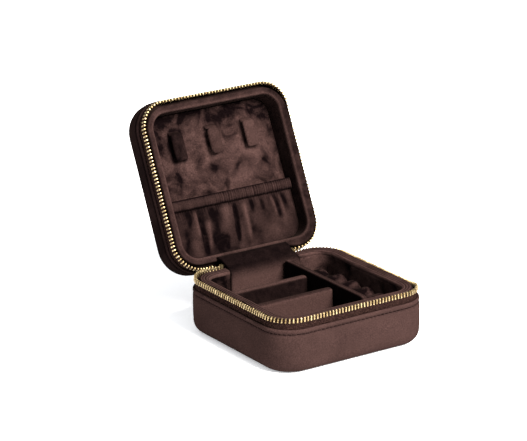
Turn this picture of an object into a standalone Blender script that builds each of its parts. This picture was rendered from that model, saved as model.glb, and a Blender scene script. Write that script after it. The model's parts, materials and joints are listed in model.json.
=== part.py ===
"""Travel jewelry case: a zipped velvet box with a padded lid, dividers and ring rolls.

Units are metres. +Z is up, the front faces -Y, and the middle of the underside is the origin.
The case stands open: the lid hangs on the back and leans past upright.
Lid pieces are drawn as they lie on the closed case, and an empty on the hinge line opens them.
"""

import math

import bmesh
import bpy
from mathutils import Matrix

# ---------------------------------------------------------------- overall form
CASE_WIDTH = 0.1000
CASE_DEPTH = 0.1000
CORNER_RADIUS = 0.0174
EDGE_FILLET = 0.0068
SPLIT_HEIGHT = 0.0323        # where base and lid teeth meet
LID_RISE = 0.0225            # from the split to the top of the closed lid
RIM_SETBACK = 0.0065         # bare zip tape between the split and each cover's folded rim
OPEN_ANGLE = math.radians(115.0)
HINGE_INSET = 0.0005         # hinge line in from the back face
HINGE_DROP = 0.0016          # hinge line below the split

# ---------------------------------------------------------------- wall layers, from outside in
GAP = 0.0003                 # clearance between pieces that touch
COVER_WALL = 0.0009
TAPE_WALL = 0.0005
BOARD_WALL = 0.0018
PADDING_WALL = 0.0045
LID_PADDING_WALL = 0.0027     # the lid's foam is thinner, so its mouth is wider
LINER_WALL = 0.0009
INNER_FILLET = 0.0016

# ---------------------------------------------------------------- zip
TEETH_WIDTH = 0.0018
TEETH_HEIGHT = 0.0025
TAPE_HEIGHT = 0.0093
BOARD_SETBACK = 0.0013       # board edge behind the folded rim
COLLAR_SETBACK = 0.0014      # collar crest behind the split
COLLAR_HEIGHT = 0.0023
COLLAR_ROUNDING = 0.0009
HINGE_HALF_WIDTH = 0.0233    # half of the back that has no zip and no collar
STOP_LENGTH = 0.0016

# ---------------------------------------------------------------- inside the base
FLOOR_PAD = 0.0020
DIVIDER_WALL = 0.0034
SHORT_DIVIDER_WALL = 0.0042
DIVIDER_ROUNDING = 0.0012
LONG_DIVIDER_OFFSET = 0.0130     # from the middle, towards the right
LONG_DIVIDER_DROP = 0.0011       # top below the split
SHORT_DIVIDER_DROP = 0.0038
FRONT_CELL = 0.0286              # clear depth of the front left cell
MIDDLE_CELL = 0.0206
ROLL_COUNT = 6
ROLL_DROP = 0.0098               # roll crests below the split
ROLL_SIDES = 16

# ---------------------------------------------------------------- inside the lid
CEILING_BOARD = 0.0018
CEILING_PAD = 0.0039
TAB_COUNT = 3
TAB_PITCH = 0.0242
TAB_WIDTH = 0.0076
TAB_LENGTH = 0.0154
TAB_THICKNESS = 0.0020
TAB_ROOT = 0.0024
TAB_FRONT_MARGIN = 0.0091        # from the pad's front edge to the tab roots
STUD_RADIUS = 0.0023
KNOB_RADIUS = 0.0012
STUD_PLATE = 0.0004
KNOB_HEIGHT = 0.0006
SOCKET_HEIGHT = 0.0008
STUD_END_MARGIN = 0.0040         # stud centre from the tab's free end
POCKET_SHEET = 0.0008
POCKET_DEPTH = 0.0023            # room behind the pocket
POCKET_HEIGHT = 0.0342
HEADER_HEIGHT = 0.0065
HEADER_THICKNESS = 0.0024
HEADER_SHEET = 0.0005
ELASTIC_THICKNESS = 0.0006

# ---------------------------------------------------------------- hinge fabric
PANEL_SHEET = 0.0008
PANEL_CLEARANCE = 0.0010         # bare fold on each side of the hinge line
SLOPE_RUN = 0.0030               # sloping start of the inner panel above the base wall
LID_SLOPE_RUN = 0.0028
LID_SEAM_INSET = 0.0062         # panel's seam on the lid collar, in from the back face

# ---------------------------------------------------------------- parked slider
TAIL_WIDTH = 0.0050
TAIL_SHEET = 0.0008
TAIL_OFFSET = 0.0270             # from the middle, towards the right
TAIL_STANDOFF = 0.0016           # from the back face to the hanging tail
SLIDER_WALL = 0.0010
SLIDER_HEIGHT = 0.0070
SLIDER_TRAVEL = 0.0030
BAIL_WIDTH = 0.0022
BAIL_WALL = 0.0008
BAIL_ROOM = 0.0016
BAIL_HALF_HEIGHT = 0.0020
PULL_WIDTH = 0.0050
PULL_LENGTH = 0.0140
PULL_THICKNESS = 0.0010
PULL_BAR = 0.0010
PULL_EYE_WIDTH = 0.0030
PULL_EYE_HEIGHT = 0.0028
TAIL_STOP_HEIGHT = 0.0015

CORNER_STEPS = 6
FILLET_STEPS = 4

# ---------------------------------------------------------------- derived places
COVER_IN = COVER_WALL
TAPE_OUT = COVER_IN + GAP
TAPE_IN = TAPE_OUT + TAPE_WALL
BOARD_OUT = TAPE_IN + GAP
BOARD_IN = BOARD_OUT + BOARD_WALL
PADDING_OUT = BOARD_IN + GAP
PADDING_IN = PADDING_OUT + PADDING_WALL
LINER_OUT = PADDING_IN + GAP
LINER_IN = LINER_OUT + LINER_WALL
FILL_EDGE = LINER_IN + GAP       # outline of what lies inside the lining
LID_PADDING_IN = PADDING_OUT + LID_PADDING_WALL
LID_LINER_OUT = LID_PADDING_IN + GAP
LID_LINER_IN = LID_LINER_OUT + LINER_WALL
TEETH_OUT = (TAPE_OUT + TAPE_IN - TEETH_WIDTH) / 2
TEETH_IN = TEETH_OUT + TEETH_WIDTH

HALF_WIDTH = CASE_WIDTH / 2
HALF_DEPTH = CASE_DEPTH / 2
HINGE_Y = HALF_DEPTH - HINGE_INSET
HINGE_Z = SPLIT_HEIGHT - HINGE_DROP

BASE_RIM = SPLIT_HEIGHT - RIM_SETBACK
TEETH_TOP = SPLIT_HEIGHT - GAP / 2
TEETH_FOOT = TEETH_TOP - TEETH_HEIGHT
TAPE_TOP = TEETH_FOOT - GAP
COLLAR_TOP = SPLIT_HEIGHT - COLLAR_SETBACK
COLLAR_FOOT = COLLAR_TOP - COLLAR_HEIGHT
WALL_TOP = COLLAR_FOOT - GAP
BOARD_TOP = BASE_RIM - BOARD_SETBACK
BOARD_FLOOR = COVER_WALL + GAP
LINER_FLOOR = BOARD_FLOOR + BOARD_WALL + GAP
CELL_FLOOR = LINER_FLOOR + LINER_WALL + GAP
PAD_TOP = CELL_FLOOR + FLOOR_PAD

LID_TOP = SPLIT_HEIGHT + LID_RISE
LID_BOARD_TOP = LID_TOP - COVER_WALL - GAP
LID_STACK_TOP = LID_BOARD_TOP - BOARD_WALL - GAP
CEILING_BOARD_FACE = LID_STACK_TOP - CEILING_BOARD
CEILING_PAD_BACK = CEILING_BOARD_FACE - GAP
CEILING = CEILING_PAD_BACK - CEILING_PAD

INNER_HALF_WIDTH = HALF_WIDTH - LINER_IN
INNER_HALF_DEPTH = HALF_DEPTH - LINER_IN
INNER_RADIUS = CORNER_RADIUS - LINER_IN
PANEL_FACE = INNER_HALF_DEPTH - GAP - PANEL_SHEET
LID_INNER_HALF_WIDTH = HALF_WIDTH - LID_LINER_IN
LID_INNER_HALF_DEPTH = HALF_DEPTH - LID_LINER_IN
LID_INNER_RADIUS = CORNER_RADIUS - LID_LINER_IN

COCOA = (0.050, 0.028, 0.024)
COCOA_LIGHT = (0.085, 0.050, 0.044)
TAPE_BROWN = (0.035, 0.020, 0.016)
BRASS = (0.62, 0.44, 0.17)
STEEL = (0.55, 0.53, 0.50)
BOARD_GREY = (0.32, 0.29, 0.26)
FOAM_CREAM = (0.62, 0.58, 0.48)
ELASTIC_BLACK = (0.02, 0.02, 0.02)


def clear_scene():
    for old in list(bpy.data.objects):
        bpy.data.objects.remove(old, do_unlink=True)


def material(name, colour, roughness, metallic=0.0):
    made = bpy.data.materials.new(name)
    made.use_nodes = True
    shader = made.node_tree.nodes["Principled BSDF"]
    shader.inputs["Base Color"].default_value = (*colour, 1.0)
    shader.inputs["Roughness"].default_value = roughness
    shader.inputs["Metallic"].default_value = metallic
    return made


def velvet(name, colour=COCOA):
    return material(name, colour, 0.92)


def metal(name, colour=BRASS):
    return material(name, colour, 0.32, 1.0)


# ---------------------------------------------------------------- mesh helpers
def add_object(name, mesh_data, finish, pivot=None, sharp_degrees=40.0):
    """Link a mesh as an object. Its mesh is in case coordinates, moved to its pivot if it has one."""
    mesh = bpy.data.meshes.new(name)
    mesh_data.to_mesh(mesh)
    mesh_data.free()
    made = bpy.data.objects.new(name, mesh)
    bpy.context.collection.objects.link(made)
    made.data.materials.append(finish)
    if pivot is not None:
        mesh.transform(Matrix.Translation([-value for value in pivot["at"]]))
        made.parent = pivot["empty"]
    mesh.shade_smooth()
    mesh.set_sharp_from_angle(angle=math.radians(sharp_degrees))
    return made


def pivot_empty(name, at, parent=None):
    """An empty on a joint's axis. `at` is in closed-case coordinates, as its pieces' meshes are."""
    empty = bpy.data.objects.new(name, None)
    bpy.context.collection.objects.link(empty)
    if parent is None:
        empty.location = at
    else:
        empty.parent = parent["empty"]
        empty.location = [here - origin for here, origin in zip(at, parent["at"])]
    return {"empty": empty, "at": at}


def outline(inset):
    """The case's rounded rectangle, moved in by `inset`, anticlockwise from the back's middle."""
    half_x = HALF_WIDTH - inset
    half_y = HALF_DEPTH - inset
    radius = max(CORNER_RADIUS - inset, 0.0004)
    centres = ((-1, 1, 90), (-1, -1, 180), (1, -1, 270), (1, 1, 0))
    points = []
    for side_x, side_y, start in centres:
        for step in range(CORNER_STEPS + 1):
            angle = math.radians(start + 90 * step / CORNER_STEPS)
            points.append((side_x * (half_x - radius) + radius * math.cos(angle),
                           side_y * (half_y - radius) + radius * math.sin(angle)))
    return points


def open_outline(inset, half_gap):
    """The same rounded rectangle, cut open across the back between -half_gap and +half_gap."""
    back = HALF_DEPTH - inset
    return [(-half_gap, back), *outline(inset), (half_gap, back)]


def loft(rings, closed_round, closed_path):
    """Skin a list of equal point rings. The path closes on itself or gets flat end faces."""
    data = bmesh.new()
    loops = [[data.verts.new(point) for point in ring] for ring in rings]
    pairs = list(zip(loops, loops[1:]))
    if closed_path:
        pairs.append((loops[-1], loops[0]))
    count = len(loops[0])
    for low, high in pairs:
        for index in range(count if closed_round else count - 1):
            after = (index + 1) % count
            data.faces.new((low[index], low[after], high[after], high[index]))
    if not closed_path:
        data.faces.new(loops[0])
        data.faces.new(loops[-1])
    bmesh.ops.recalc_face_normals(data, faces=data.faces)
    return data


def shell(profile, closed_path):
    """Sweep a profile of (inset, z) points round the case's outline."""
    rings = [[(x, y, z) for x, y in outline(inset)] for inset, z in profile]
    return loft(rings, closed_round=True, closed_path=closed_path)


def open_band(profile, half_gap=HINGE_HALF_WIDTH):
    """Sweep a closed profile round the outline, but not across the hinge."""
    lines = [open_outline(inset, half_gap) for inset, _ in profile]
    heights = [z for _, z in profile]
    sections = [[(line[step][0], line[step][1], z) for line, z in zip(lines, heights)]
                for step in range(len(lines[0]))]
    return loft(sections, closed_round=True, closed_path=False)


def arc_profile(centre_inset, centre_z, radius, start, sweep):
    """Profile points on a quarter circle, as (inset, z)."""
    points = []
    for step in range(FILLET_STEPS + 1):
        angle = math.radians(start + sweep * step / FILLET_STEPS)
        points.append((centre_inset + radius * math.cos(angle),
                       centre_z + radius * math.sin(angle)))
    return points


def rounded_band(inset_out, inset_in, low, high, rounding):
    """A band's profile with both upper edges rounded."""
    left = arc_profile(inset_out + rounding, high - rounding, rounding, 180, -90)
    right = arc_profile(inset_in - rounding, high - rounding, rounding, 90, -90)
    return [(inset_out, low), *left, *right, (inset_in, low)]


def mirrored(profile):
    """The same profile on the lid: its heights reflected in the split."""
    return [(inset, 2 * SPLIT_HEIGHT - z) for inset, z in profile]


def tray_profile(inset_out, inset_in, floor_low, floor_high, rim, outer_fillet, inner_fillet):
    """A tray from the middle of its underside, up over its rim and down to its floor."""
    outer = arc_profile(inset_out + outer_fillet, floor_low + outer_fillet, outer_fillet, 270, -90)
    inner = arc_profile(inset_in + inner_fillet, floor_high + inner_fillet, inner_fillet, 180, 90)
    return [*outer, (inset_out, rim), (inset_in, rim), *inner]


def box(low, high):
    data = bmesh.new()
    bmesh.ops.create_cube(data, size=1.0)
    for vert in data.verts:
        for axis in range(3):
            middle = (low[axis] + high[axis]) / 2
            vert.co[axis] = middle + vert.co[axis] * (high[axis] - low[axis])
    return data


def bevelled_box(low, high, width, edges_along, segments=3):
    """A box with its edges along the listed axes rounded, or only those that `edges_along` keeps."""
    data = box(low, high)
    chosen = [edge for edge in data.edges if edges_along(edge)]
    bmesh.ops.bevel(data, geom=chosen, offset=width, segments=segments, profile=0.5, affect="EDGES")
    return data


def edge_middle(edge):
    return (edge.verts[0].co + edge.verts[1].co) / 2


def plate(points, low, high):
    """A flat outline in X and Y, given depth from low to high."""
    rings = [[(x, y, z) for x, y in points] for z in (low, high)]
    return loft(rings, closed_round=True, closed_path=False)


def strip_along_x(section, left, right):
    """A closed (y, z) section pushed along X."""
    rings = [[(x, y, z) for y, z in section] for x in (left, right)]
    return loft(rings, closed_round=True, closed_path=False)


def disc(centre, radius, low, high, sides=20):
    points = [(centre[0] + radius * math.cos(2 * math.pi * step / sides),
               centre[1] + radius * math.sin(2 * math.pi * step / sides)) for step in range(sides)]
    return plate(points, low, high)


def turned(centre, profile, sides=20):
    """A closed (radius, z) profile turned about a vertical line."""
    rings = []
    for step in range(sides):
        angle = 2 * math.pi * step / sides
        rings.append([(centre[0] + radius * math.cos(angle),
                       centre[1] + radius * math.sin(angle), z) for radius, z in profile])
    return loft(rings, closed_round=True, closed_path=True)


# ---------------------------------------------------------------- base shells
def build_base_shells():
    cover = tray_profile(0, COVER_IN, 0, COVER_WALL, BASE_RIM, EDGE_FILLET, EDGE_FILLET - COVER_WALL)
    add_object("base_cover", shell(cover, False), velvet("base_cover_velvet"))

    board_fillet = max(EDGE_FILLET - BOARD_OUT, INNER_FILLET)
    board = tray_profile(BOARD_OUT, BOARD_IN, BOARD_FLOOR, BOARD_FLOOR + BOARD_WALL, BOARD_TOP,
                         board_fillet, max(board_fillet - BOARD_WALL, INNER_FILLET / 2))
    add_object("base_board_tray", shell(board, False), material("base_board", BOARD_GREY, 0.85))

    padding = [(PADDING_OUT, LINER_FLOOR + board_fillet), (PADDING_OUT, WALL_TOP),
               (PADDING_IN, WALL_TOP), (PADDING_IN, LINER_FLOOR + board_fillet)]
    add_object("base_foam_wall", shell(padding, True), material("base_foam", FOAM_CREAM, 0.95))

    liner = tray_profile(LINER_OUT, LINER_IN, LINER_FLOOR, LINER_FLOOR + LINER_WALL, WALL_TOP,
                         INNER_FILLET, INNER_FILLET - LINER_WALL)
    add_object("base_lining", shell(liner, False), velvet("base_lining_velvet"))

    collar = rounded_band(BOARD_IN, LINER_IN, COLLAR_FOOT, COLLAR_TOP, COLLAR_ROUNDING)
    add_object("base_collar", open_band(collar), velvet("base_collar_velvet"))


def tape_profile():
    foot = TAPE_TOP - TAPE_HEIGHT
    return [(TAPE_OUT, foot), (TAPE_OUT, TAPE_TOP), (TAPE_IN, TAPE_TOP), (TAPE_IN, foot)]


def teeth_profile():
    return [(TEETH_OUT, TEETH_FOOT), (TEETH_OUT, TEETH_TOP),
            (TEETH_IN, TEETH_TOP), (TEETH_IN, TEETH_FOOT)]


def build_base_zip():
    add_object("base_zip_tape", open_band(tape_profile()), material("base_tape", TAPE_BROWN, 0.8))
    chain = open_band(teeth_profile(), HINGE_HALF_WIDTH + STOP_LENGTH + GAP)
    add_object("base_zip_teeth", chain, metal("base_teeth_brass"))
    back = HALF_DEPTH - (TEETH_OUT + TEETH_IN) / 2
    for side, name in ((-1, "zip_end_stop_left"), (1, "zip_end_stop_right")):
        inner = side * HINGE_HALF_WIDTH
        outer = side * (HINGE_HALF_WIDTH + STOP_LENGTH)
        low = (min(inner, outer), back - TEETH_WIDTH / 2, TEETH_FOOT)
        high = (max(inner, outer), back + TEETH_WIDTH / 2, TEETH_TOP)
        add_object(name, box(low, high), metal(name + "_brass"))


# ---------------------------------------------------------------- inside the base
def inner_rectangle(low_x, high_x, low_y, high_y, round_left, round_right, lining_radius=INNER_RADIUS):
    """A flat outline inside the lining, rounded where it fills the lining's corners."""
    radius = max(lining_radius - GAP, 0.0006)
    corners = ((low_x, high_y, round_left, 90), (low_x, low_y, round_left, 180),
               (high_x, low_y, round_right, 270), (high_x, high_y, round_right, 0))
    points = []
    for x, y, is_round, start in corners:
        if not is_round:
            points.append((x, y))
            continue
        centre_x = x + radius if x == low_x else x - radius
        centre_y = y + radius if y == low_y else y - radius
        for step in range(CORNER_STEPS + 1):
            angle = math.radians(start + 90 * step / CORNER_STEPS)
            points.append((centre_x + radius * math.cos(angle), centre_y + radius * math.sin(angle)))
    return points


def build_long_divider():
    low = (LONG_DIVIDER_OFFSET - DIVIDER_WALL / 2, -(INNER_HALF_DEPTH - GAP), CELL_FLOOR)
    high = (LONG_DIVIDER_OFFSET + DIVIDER_WALL / 2, PANEL_FACE - GAP, SPLIT_HEIGHT - LONG_DIVIDER_DROP)

    def upper_edge(edge):
        middle = edge_middle(edge)
        return middle.z > high[2] - GAP and abs(middle.x - LONG_DIVIDER_OFFSET) > GAP

    data = bevelled_box(low, high, DIVIDER_ROUNDING, upper_edge)
    add_object("long_divider", data, velvet("long_divider_velvet"))


def short_divider_faces():
    """Front and back faces of the front and rear short dividers."""
    front = -INNER_HALF_DEPTH + FRONT_CELL
    rear = front + SHORT_DIVIDER_WALL + MIDDLE_CELL
    return {"front_short_divider": (front, front + SHORT_DIVIDER_WALL),
            "rear_short_divider": (rear, rear + SHORT_DIVIDER_WALL)}


def build_short_dividers():
    left = -(INNER_HALF_WIDTH - GAP)
    right = LONG_DIVIDER_OFFSET - DIVIDER_WALL / 2 - GAP
    top = SPLIT_HEIGHT - SHORT_DIVIDER_DROP
    for name, (front, back) in short_divider_faces().items():
        foot = PAD_TOP + GAP
        pivot = pivot_empty(name + "_lift", ((left + right) / 2, (front + back) / 2, foot))

        def upper_edge(edge, middle_y=(front + back) / 2):
            middle = edge_middle(edge)
            return middle.z > top - GAP and abs(middle.y - middle_y) > GAP

        data = bevelled_box((left, front, foot), (right, back, top), DIVIDER_ROUNDING, upper_edge)
        add_object(name, data, velvet(name + "_velvet"), pivot)


def build_base_beds():
    divider_left = LONG_DIVIDER_OFFSET - DIVIDER_WALL / 2 - GAP
    divider_right = LONG_DIVIDER_OFFSET + DIVIDER_WALL / 2 + GAP
    wall_x = INNER_HALF_WIDTH - GAP
    wall_y = INNER_HALF_DEPTH - GAP
    pad = inner_rectangle(-wall_x, divider_left, -wall_y, PANEL_FACE - GAP, True, False)
    add_object("floor_pad", plate(pad, CELL_FLOOR, PAD_TOP), velvet("floor_pad_velvet"))

    crest = SPLIT_HEIGHT - ROLL_DROP
    bed_top = crest - 2 * roll_radius() - GAP
    bed = inner_rectangle(divider_right, wall_x, -wall_y, PANEL_FACE - GAP, False, True)
    add_object("ring_bed", plate(bed, CELL_FLOOR, bed_top), material("ring_bed_foam", FOAM_CREAM, 0.95))


def roll_pitch():
    """The rolls share the bay's length, from the front wall to the hinge panel."""
    return (PANEL_FACE - GAP + INNER_HALF_DEPTH) / ROLL_COUNT


def roll_radius():
    return (roll_pitch() - GAP) / 2


def build_ring_rolls():
    left = LONG_DIVIDER_OFFSET + DIVIDER_WALL / 2 + GAP
    radius = roll_radius()
    height = SPLIT_HEIGHT - ROLL_DROP - radius
    for index in range(ROLL_COUNT):
        centre = -INNER_HALF_DEPTH + GAP + radius + index * roll_pitch()
        # A roll at the end of the bay is shorter, because the bay's corner is round.
        reach = INNER_HALF_DEPTH - (abs(centre) + radius)
        corner = max(INNER_RADIUS - reach, 0.0)
        shortened = INNER_RADIUS - math.sqrt(max(INNER_RADIUS ** 2 - corner ** 2, 0.0))
        right = INNER_HALF_WIDTH - GAP - shortened
        section = [(centre + radius * math.cos(2 * math.pi * (step + 0.5) / ROLL_SIDES),
                    height + radius * math.sin(2 * math.pi * (step + 0.5) / ROLL_SIDES))
                   for step in range(ROLL_SIDES)]
        name = f"ring_roll_{index + 1}"
        add_object(name, strip_along_x(section, left, right), velvet(name + "_velvet"))


# ---------------------------------------------------------------- hinge fabric
def build_base_hinge_fabric():
    half = HINGE_HALF_WIDTH
    spine_top = HINGE_Z - PANEL_CLEARANCE
    spine = box((-half, HALF_DEPTH - COVER_WALL, BASE_RIM + GAP), (half, HALF_DEPTH, spine_top))
    add_object("hinge_spine_base", spine, velvet("spine_base_velvet"))

    bend = COLLAR_FOOT + GAP
    rise = SLOPE_RUN * math.tan(math.radians(22))
    outer = PANEL_FACE + PANEL_SHEET
    section = [(PANEL_FACE, CELL_FLOOR + FLOOR_PAD + GAP), (outer, CELL_FLOOR + FLOOR_PAD + GAP),
               (outer, bend), (outer + SLOPE_RUN, bend + rise),
               (outer + SLOPE_RUN, bend + rise + PANEL_SHEET), (PANEL_FACE, bend + PANEL_SHEET)]
    add_object("hinge_panel_base", strip_along_x(section, -half, half), velvet("panel_base_velvet"))


def build_lid_hinge_fabric(lid):
    half = HINGE_HALF_WIDTH
    spine_low = HINGE_Z + PANEL_CLEARANCE
    lid_rim = SPLIT_HEIGHT + RIM_SETBACK
    spine = box((-half, HALF_DEPTH - COVER_WALL, spine_low), (half, HALF_DEPTH, lid_rim - GAP))
    add_object("hinge_spine_lid", spine, velvet("spine_lid_velvet"), lid)

    collar_low = 2 * SPLIT_HEIGHT - COLLAR_TOP
    start = (HALF_DEPTH - LID_SEAM_INSET, collar_low - GAP)
    section = [start, (start[0] + PANEL_SHEET, start[1]),
               (start[0] + PANEL_SHEET + LID_SLOPE_RUN / 2, start[1] - LID_SLOPE_RUN),
               (start[0] + LID_SLOPE_RUN / 2, start[1] - LID_SLOPE_RUN)]
    add_object("hinge_panel_lid", strip_along_x(section, -half, half), velvet("panel_lid_velvet"), lid)


# ---------------------------------------------------------------- lid shells
def upside_down(profile):
    """A tray's profile turned over so that its floor is the lid's top."""
    return [(inset, LID_TOP - z) for inset, z in profile]


def build_lid_shells(lid):
    rim = LID_TOP - (SPLIT_HEIGHT + RIM_SETBACK)
    cover = tray_profile(0, COVER_IN, 0, COVER_WALL, rim, EDGE_FILLET, EDGE_FILLET - COVER_WALL)
    add_object("lid_cover", shell(upside_down(cover), False), velvet("lid_cover_velvet"), lid)

    board_fillet = max(EDGE_FILLET - BOARD_OUT, INNER_FILLET)
    board = tray_profile(BOARD_OUT, BOARD_IN, BOARD_FLOOR, BOARD_FLOOR + BOARD_WALL, rim - BOARD_SETBACK,
                         board_fillet, max(board_fillet - BOARD_WALL, INNER_FILLET / 2))
    add_object("lid_board_tray", shell(upside_down(board), False),
               material("lid_board", BOARD_GREY, 0.85), lid)

    wall_low = 2 * SPLIT_HEIGHT - WALL_TOP
    foam_high = LID_STACK_TOP - board_fillet
    foam = [(PADDING_OUT, wall_low), (PADDING_OUT, foam_high), (LID_PADDING_IN, foam_high),
            (LID_PADDING_IN, wall_low)]
    add_object("lid_foam_wall", shell(foam, True), material("lid_foam", FOAM_CREAM, 0.95), lid)

    lining = [(LID_LINER_OUT, wall_low), (LID_LINER_OUT, LID_STACK_TOP), (LID_LINER_IN, LID_STACK_TOP),
              (LID_LINER_IN, wall_low)]
    add_object("lid_side_lining", shell(lining, True), velvet("lid_lining_velvet"), lid)

    collar = mirrored(rounded_band(BOARD_IN, LID_LINER_IN, COLLAR_FOOT, COLLAR_TOP, COLLAR_ROUNDING))
    add_object("lid_collar", shell(collar, True), velvet("lid_collar_velvet"), lid)

    across, along = LID_INNER_HALF_WIDTH - GAP, LID_INNER_HALF_DEPTH - GAP
    fill = inner_rectangle(-across, across, -along, along, True, True, LID_INNER_RADIUS)
    add_object("lid_ceiling_board", plate(fill, CEILING_BOARD_FACE, LID_STACK_TOP),
               material("ceiling_board", BOARD_GREY, 0.85), lid)
    add_object("lid_ceiling_pad", plate(fill, CEILING, CEILING_PAD_BACK),
               velvet("ceiling_pad_velvet"), lid)


def build_lid_zip(lid):
    add_object("lid_zip_tape", open_band(mirrored(tape_profile())),
               material("lid_tape", TAPE_BROWN, 0.8), lid)
    add_object("lid_zip_teeth", open_band(mirrored(teeth_profile())), metal("lid_teeth_brass"), lid)


# ---------------------------------------------------------------- pocket
def build_pocket(lid):
    bottom = LID_INNER_HALF_DEPTH - GAP
    top = bottom - POCKET_HEIGHT
    seam = top + HEADER_HEIGHT
    half = LID_INNER_HALF_WIDTH - GAP
    back = CEILING - POCKET_DEPTH
    radius = max(LID_INNER_RADIUS - GAP, 0.0006)
    sheet = []
    for side, start in ((1, 0), (-1, 90)):
        for step in range(CORNER_STEPS + 1):
            angle = math.radians(start + 90 * step / CORNER_STEPS)
            sheet.append((side * (half - radius) + radius * math.cos(angle),
                          bottom - radius + radius * math.sin(angle)))
    sheet += [(-half, seam + GAP), (half, seam + GAP)]
    add_object("pocket_sheet", plate(sheet, back - POCKET_SHEET, back), velvet("pocket_velvet"), lid)

    low = back - HEADER_THICKNESS
    outer = [(top, low), (seam, low), (seam, back), (top, back)]
    inset = HEADER_SHEET
    inner = [(top + inset, low + inset), (seam - inset, low + inset),
             (seam - inset, back - inset), (top + inset, back - inset)]
    rings = [[(-half, y, z) for y, z in outer], [(half, y, z) for y, z in outer],
             [(half, y, z) for y, z in inner], [(-half, y, z) for y, z in inner]]
    header = loft(rings, closed_round=True, closed_path=True)
    add_object("pocket_header", header, velvet("header_velvet"), lid)

    middle_z = (low + back) / 2
    elastic = box((-half, top + inset + GAP, middle_z - ELASTIC_THICKNESS / 2),
                  (half, seam - inset - GAP, middle_z + ELASTIC_THICKNESS / 2))
    add_object("pocket_elastic", elastic, material("elastic", ELASTIC_BLACK, 0.9), lid)


# ---------------------------------------------------------------- necklace tabs
def build_tab(index, centre_x, lid):
    """A padded tab that swings on its sewn root and snaps shut at its free end."""
    root_front = -(LID_INNER_HALF_DEPTH - GAP) + TAB_FRONT_MARGIN
    root_back = root_front + TAB_ROOT
    socket_low = CEILING - GAP - SOCKET_HEIGHT
    plate_high = socket_low - GAP
    tab_high = plate_high - STUD_PLATE - GAP
    tab_low = tab_high - TAB_THICKNESS
    left = centre_x - TAB_WIDTH / 2
    right = centre_x + TAB_WIDTH / 2

    root = bevelled_box((left, root_front, tab_low), (right, root_back, CEILING - GAP), TAB_THICKNESS / 3,
                        lambda edge: edge_middle(edge).z < tab_low + GAP
                        and edge_middle(edge).y < root_back - GAP
                        and abs(edge_middle(edge).x - centre_x) < GAP, 2)
    add_object(f"tab_{index}_root", root, velvet(f"tab_{index}_root_velvet"), lid)

    tab_front = root_back + GAP
    tab_back = tab_front + TAB_LENGTH
    pivot = pivot_empty(f"tab_{index}_pivot", (centre_x, root_back + GAP / 2, tab_low), lid)

    def free_end(edge):
        middle = edge_middle(edge)
        return middle.y > tab_back - GAP and abs(middle.x - centre_x) > GAP

    strap = bevelled_box((left, tab_front, tab_low), (right, tab_back, tab_high),
                         TAB_WIDTH / 6, free_end)
    add_object(f"tab_{index}", strap, velvet(f"tab_{index}_velvet"), pivot)

    snap = (centre_x, tab_back - STUD_END_MARGIN)
    knob_high = plate_high + KNOB_HEIGHT
    stud = turned(snap, [(0.0003, plate_high - STUD_PLATE), (STUD_RADIUS, plate_high - STUD_PLATE),
                         (STUD_RADIUS, plate_high), (KNOB_RADIUS, plate_high),
                         (KNOB_RADIUS, knob_high), (0.0003, knob_high)])
    add_object(f"tab_{index}_stud", stud, metal(f"tab_{index}_stud_metal", STEEL), pivot)

    socket = turned(snap, [(KNOB_RADIUS + GAP, socket_low), (STUD_RADIUS, socket_low),
                           (STUD_RADIUS, CEILING - GAP), (KNOB_RADIUS + GAP, CEILING - GAP)])
    add_object(f"tab_{index}_socket", socket, metal(f"tab_{index}_socket_metal", STEEL), lid)


def build_tabs(lid):
    for index in range(TAB_COUNT):
        build_tab(index + 1, (index - (TAB_COUNT - 1) / 2) * TAB_PITCH, lid)


# ---------------------------------------------------------------- slider on its tail
def slider_places():
    """Heights and depths that the tail, the slider and the pull share."""
    tail_in = HALF_DEPTH + TAIL_STANDOFF
    tail_out = tail_in + TAIL_SHEET
    tail_low = BASE_RIM - SLIDER_TRAVEL - SLIDER_HEIGHT - GAP - TAIL_STOP_HEIGHT
    stop_high = tail_low + TAIL_STOP_HEIGHT
    slider_low = stop_high + GAP
    plate_out = tail_out + GAP + SLIDER_WALL
    return {"tail_in": tail_in, "tail_out": tail_out, "tail_low": tail_low,
            "stop_high": stop_high, "slider_low": slider_low,
            "slider_high": slider_low + SLIDER_HEIGHT, "plate_out": plate_out,
            "bail_z": slider_low + SLIDER_HEIGHT / 2, "bail_y": plate_out + BAIL_ROOM / 2}


def build_tail(at):
    left = TAIL_OFFSET - TAIL_WIDTH / 2
    right = TAIL_OFFSET + TAIL_WIDTH / 2
    over = BASE_RIM + GAP
    start = HALF_DEPTH - TAPE_OUT + GAP
    section = [(start, over), (at["tail_in"], over), (at["tail_in"], at["tail_low"]),
               (at["tail_out"], at["tail_low"]), (at["tail_out"], over + TAIL_SHEET),
               (start, over + TAIL_SHEET)]
    add_object("zip_tail", strip_along_x(section, left, right), material("tail_tape", TAPE_BROWN, 0.8))


def build_tail_stop(at):
    grip = GAP + SLIDER_WALL / 2
    low_x = TAIL_OFFSET - TAIL_WIDTH / 2 - grip
    high_x = TAIL_OFFSET + TAIL_WIDTH / 2 + grip
    low_y = at["tail_in"] - grip
    high_y = at["tail_out"] + grip
    outer = [(low_x, low_y), (high_x, low_y), (high_x, high_y), (low_x, high_y)]
    inset = SLIDER_WALL / 2
    inner = [(low_x + inset, low_y + inset), (high_x - inset, low_y + inset),
             (high_x - inset, high_y - inset), (low_x + inset, high_y - inset)]
    data = tube(outer, inner, at["tail_low"], at["stop_high"])
    add_object("zip_tail_stop", data, metal("tail_stop_brass"))


def tube(outer, inner, low, high):
    """A frame between two flat outlines, open at both ends."""
    rings = [[(x, y, low) for x, y in outer], [(x, y, high) for x, y in outer],
             [(x, y, high) for x, y in inner], [(x, y, low) for x, y in inner]]
    return loft(rings, closed_round=True, closed_path=True)


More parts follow.
